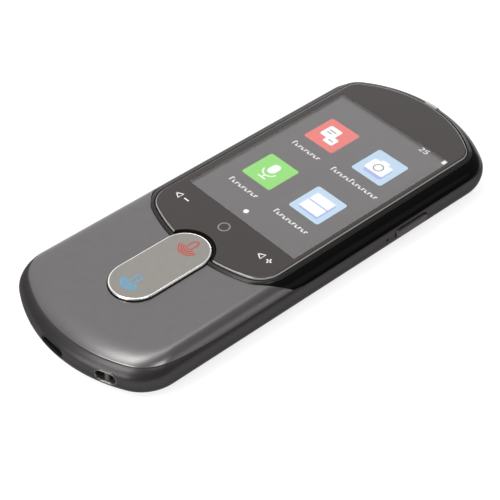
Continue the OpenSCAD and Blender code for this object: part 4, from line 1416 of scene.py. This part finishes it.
@dataclass
class Studio:
    """The pale floor, the soft lights, the world and the camera."""

    azimuth: float = 49.4925
    elevation: float = 42.6086
    roll: float = -1.2864
    target: Point3 = (12.10, -14.57, 12.4)
    distance: float = 425.73
    lens: float = 110.98
    sky_middle: Point3 = (-0.75, 0.3, 0.6)
    sky: tuple[Point2, ...] = ((0.4, 0.28), (0.75, 0.32), (0.86, 0.45), (0.92, 0.75), (0.955, 1.2))
    floor_shade: float = 0.35
    floor_glow: float = 0.8
    floor_half: float = 3000.0

    def build(self) -> None:
        """Build the floor, the lights, the world and the camera."""
        self._floor()
        self._world()
        for lamp in LAMPS:
            lamp.hang()
        self._camera()

    def _floor(self) -> None:
        """Lay a plain pale floor that shows white and keeps the shadow."""
        half = self.floor_half
        floor = Shape().sheet(box_points(-half, half, -half, half), 0).object("floor")
        wiring = Wiring(bpy.data.materials.new("floor_white"))
        path = wiring.add("ShaderNodeLightPath").outputs
        seen = path["Is Camera Ray"]
        for kind in ("Is Glossy Ray", "Is Transmission Ray"):
            seen = wiring.math("MAXIMUM", seen, path[kind])
        wiring.feed(wiring.nodes["Principled BSDF"], {
            "Base Color": (*[self.floor_shade] * 3, 1), "Roughness": 0.9, "Specular IOR Level": 0.0,
            "Emission Color": (1, 1, 1, 1),
            "Emission Strength": wiring.math("MULTIPLY", seen, self.floor_glow)})
        floor.data.materials.append(wiring.owner)

    def _world(self) -> None:
        """Light the scene from above and behind, darker towards the right side."""
        wiring = Wiring(bpy.data.worlds.new("studio"))
        bpy.context.scene.world = wiring.owner
        place = wiring.add("ShaderNodeTexCoord").outputs["Generated"]
        facing = wiring.add("ShaderNodeVectorMath", {0: place})
        facing.operation = "DOT_PRODUCT"
        wiring.feed(facing, {1: Vector(self.sky_middle).normalized()})
        share = wiring.add("ShaderNodeMapRange", {"From Min": -1, "Value": facing.outputs["Value"]})
        peak = max(level for _, level in self.sky)
        colour = wiring.ramp(share.outputs["Result"], [(at, (level / peak,) * 3) for at, level in self.sky])
        colour.node.color_ramp.interpolation = "EASE"
        wiring.feed(wiring.nodes["Background"], {"Color": colour, "Strength": peak})

    def _camera(self) -> None:
        """Place the camera where the photograph was taken."""
        az, el, roll = (math.radians(v) for v in (self.azimuth, self.elevation, self.roll))
        back = Vector((math.sin(az) * math.cos(el), -math.cos(az) * math.cos(el), math.sin(el)))
        right = Vector((math.cos(az), math.sin(az), 0))
        up = back.cross(right)
        right2 = math.cos(roll) * right + math.sin(roll) * up
        up2 = -math.sin(roll) * right + math.cos(roll) * up
        data = bpy.data.cameras.new("camera")
        data.sensor_width = 36
        data.lens = self.lens
        camera = bpy.data.objects.new("camera", data)
        turn = Matrix((right2, up2, back)).transposed().to_4x4()
        camera.matrix_world = Matrix.Translation((Vector(self.target) + self.distance * back) * MM) @ turn
        bpy.context.scene.collection.objects.link(camera)
        bpy.context.scene.camera = camera


def main() -> None:
    """Build the whole scene."""
    logging.basicConfig(level=logging.INFO, format="%(message)s")
    bpy.context.scene.view_settings.view_transform = "Standard"
    Studio().build()
    for part in (RearCover(), FrontCover(), Bezel(), CoverGlass(), Display(), TalkRocker(), SideFittings(),
                 RearCamera(), InnerParts()):
        LOG.info("building %s", type(part).__name__)
        part.build()


if __name__ == "__main__":
    main()
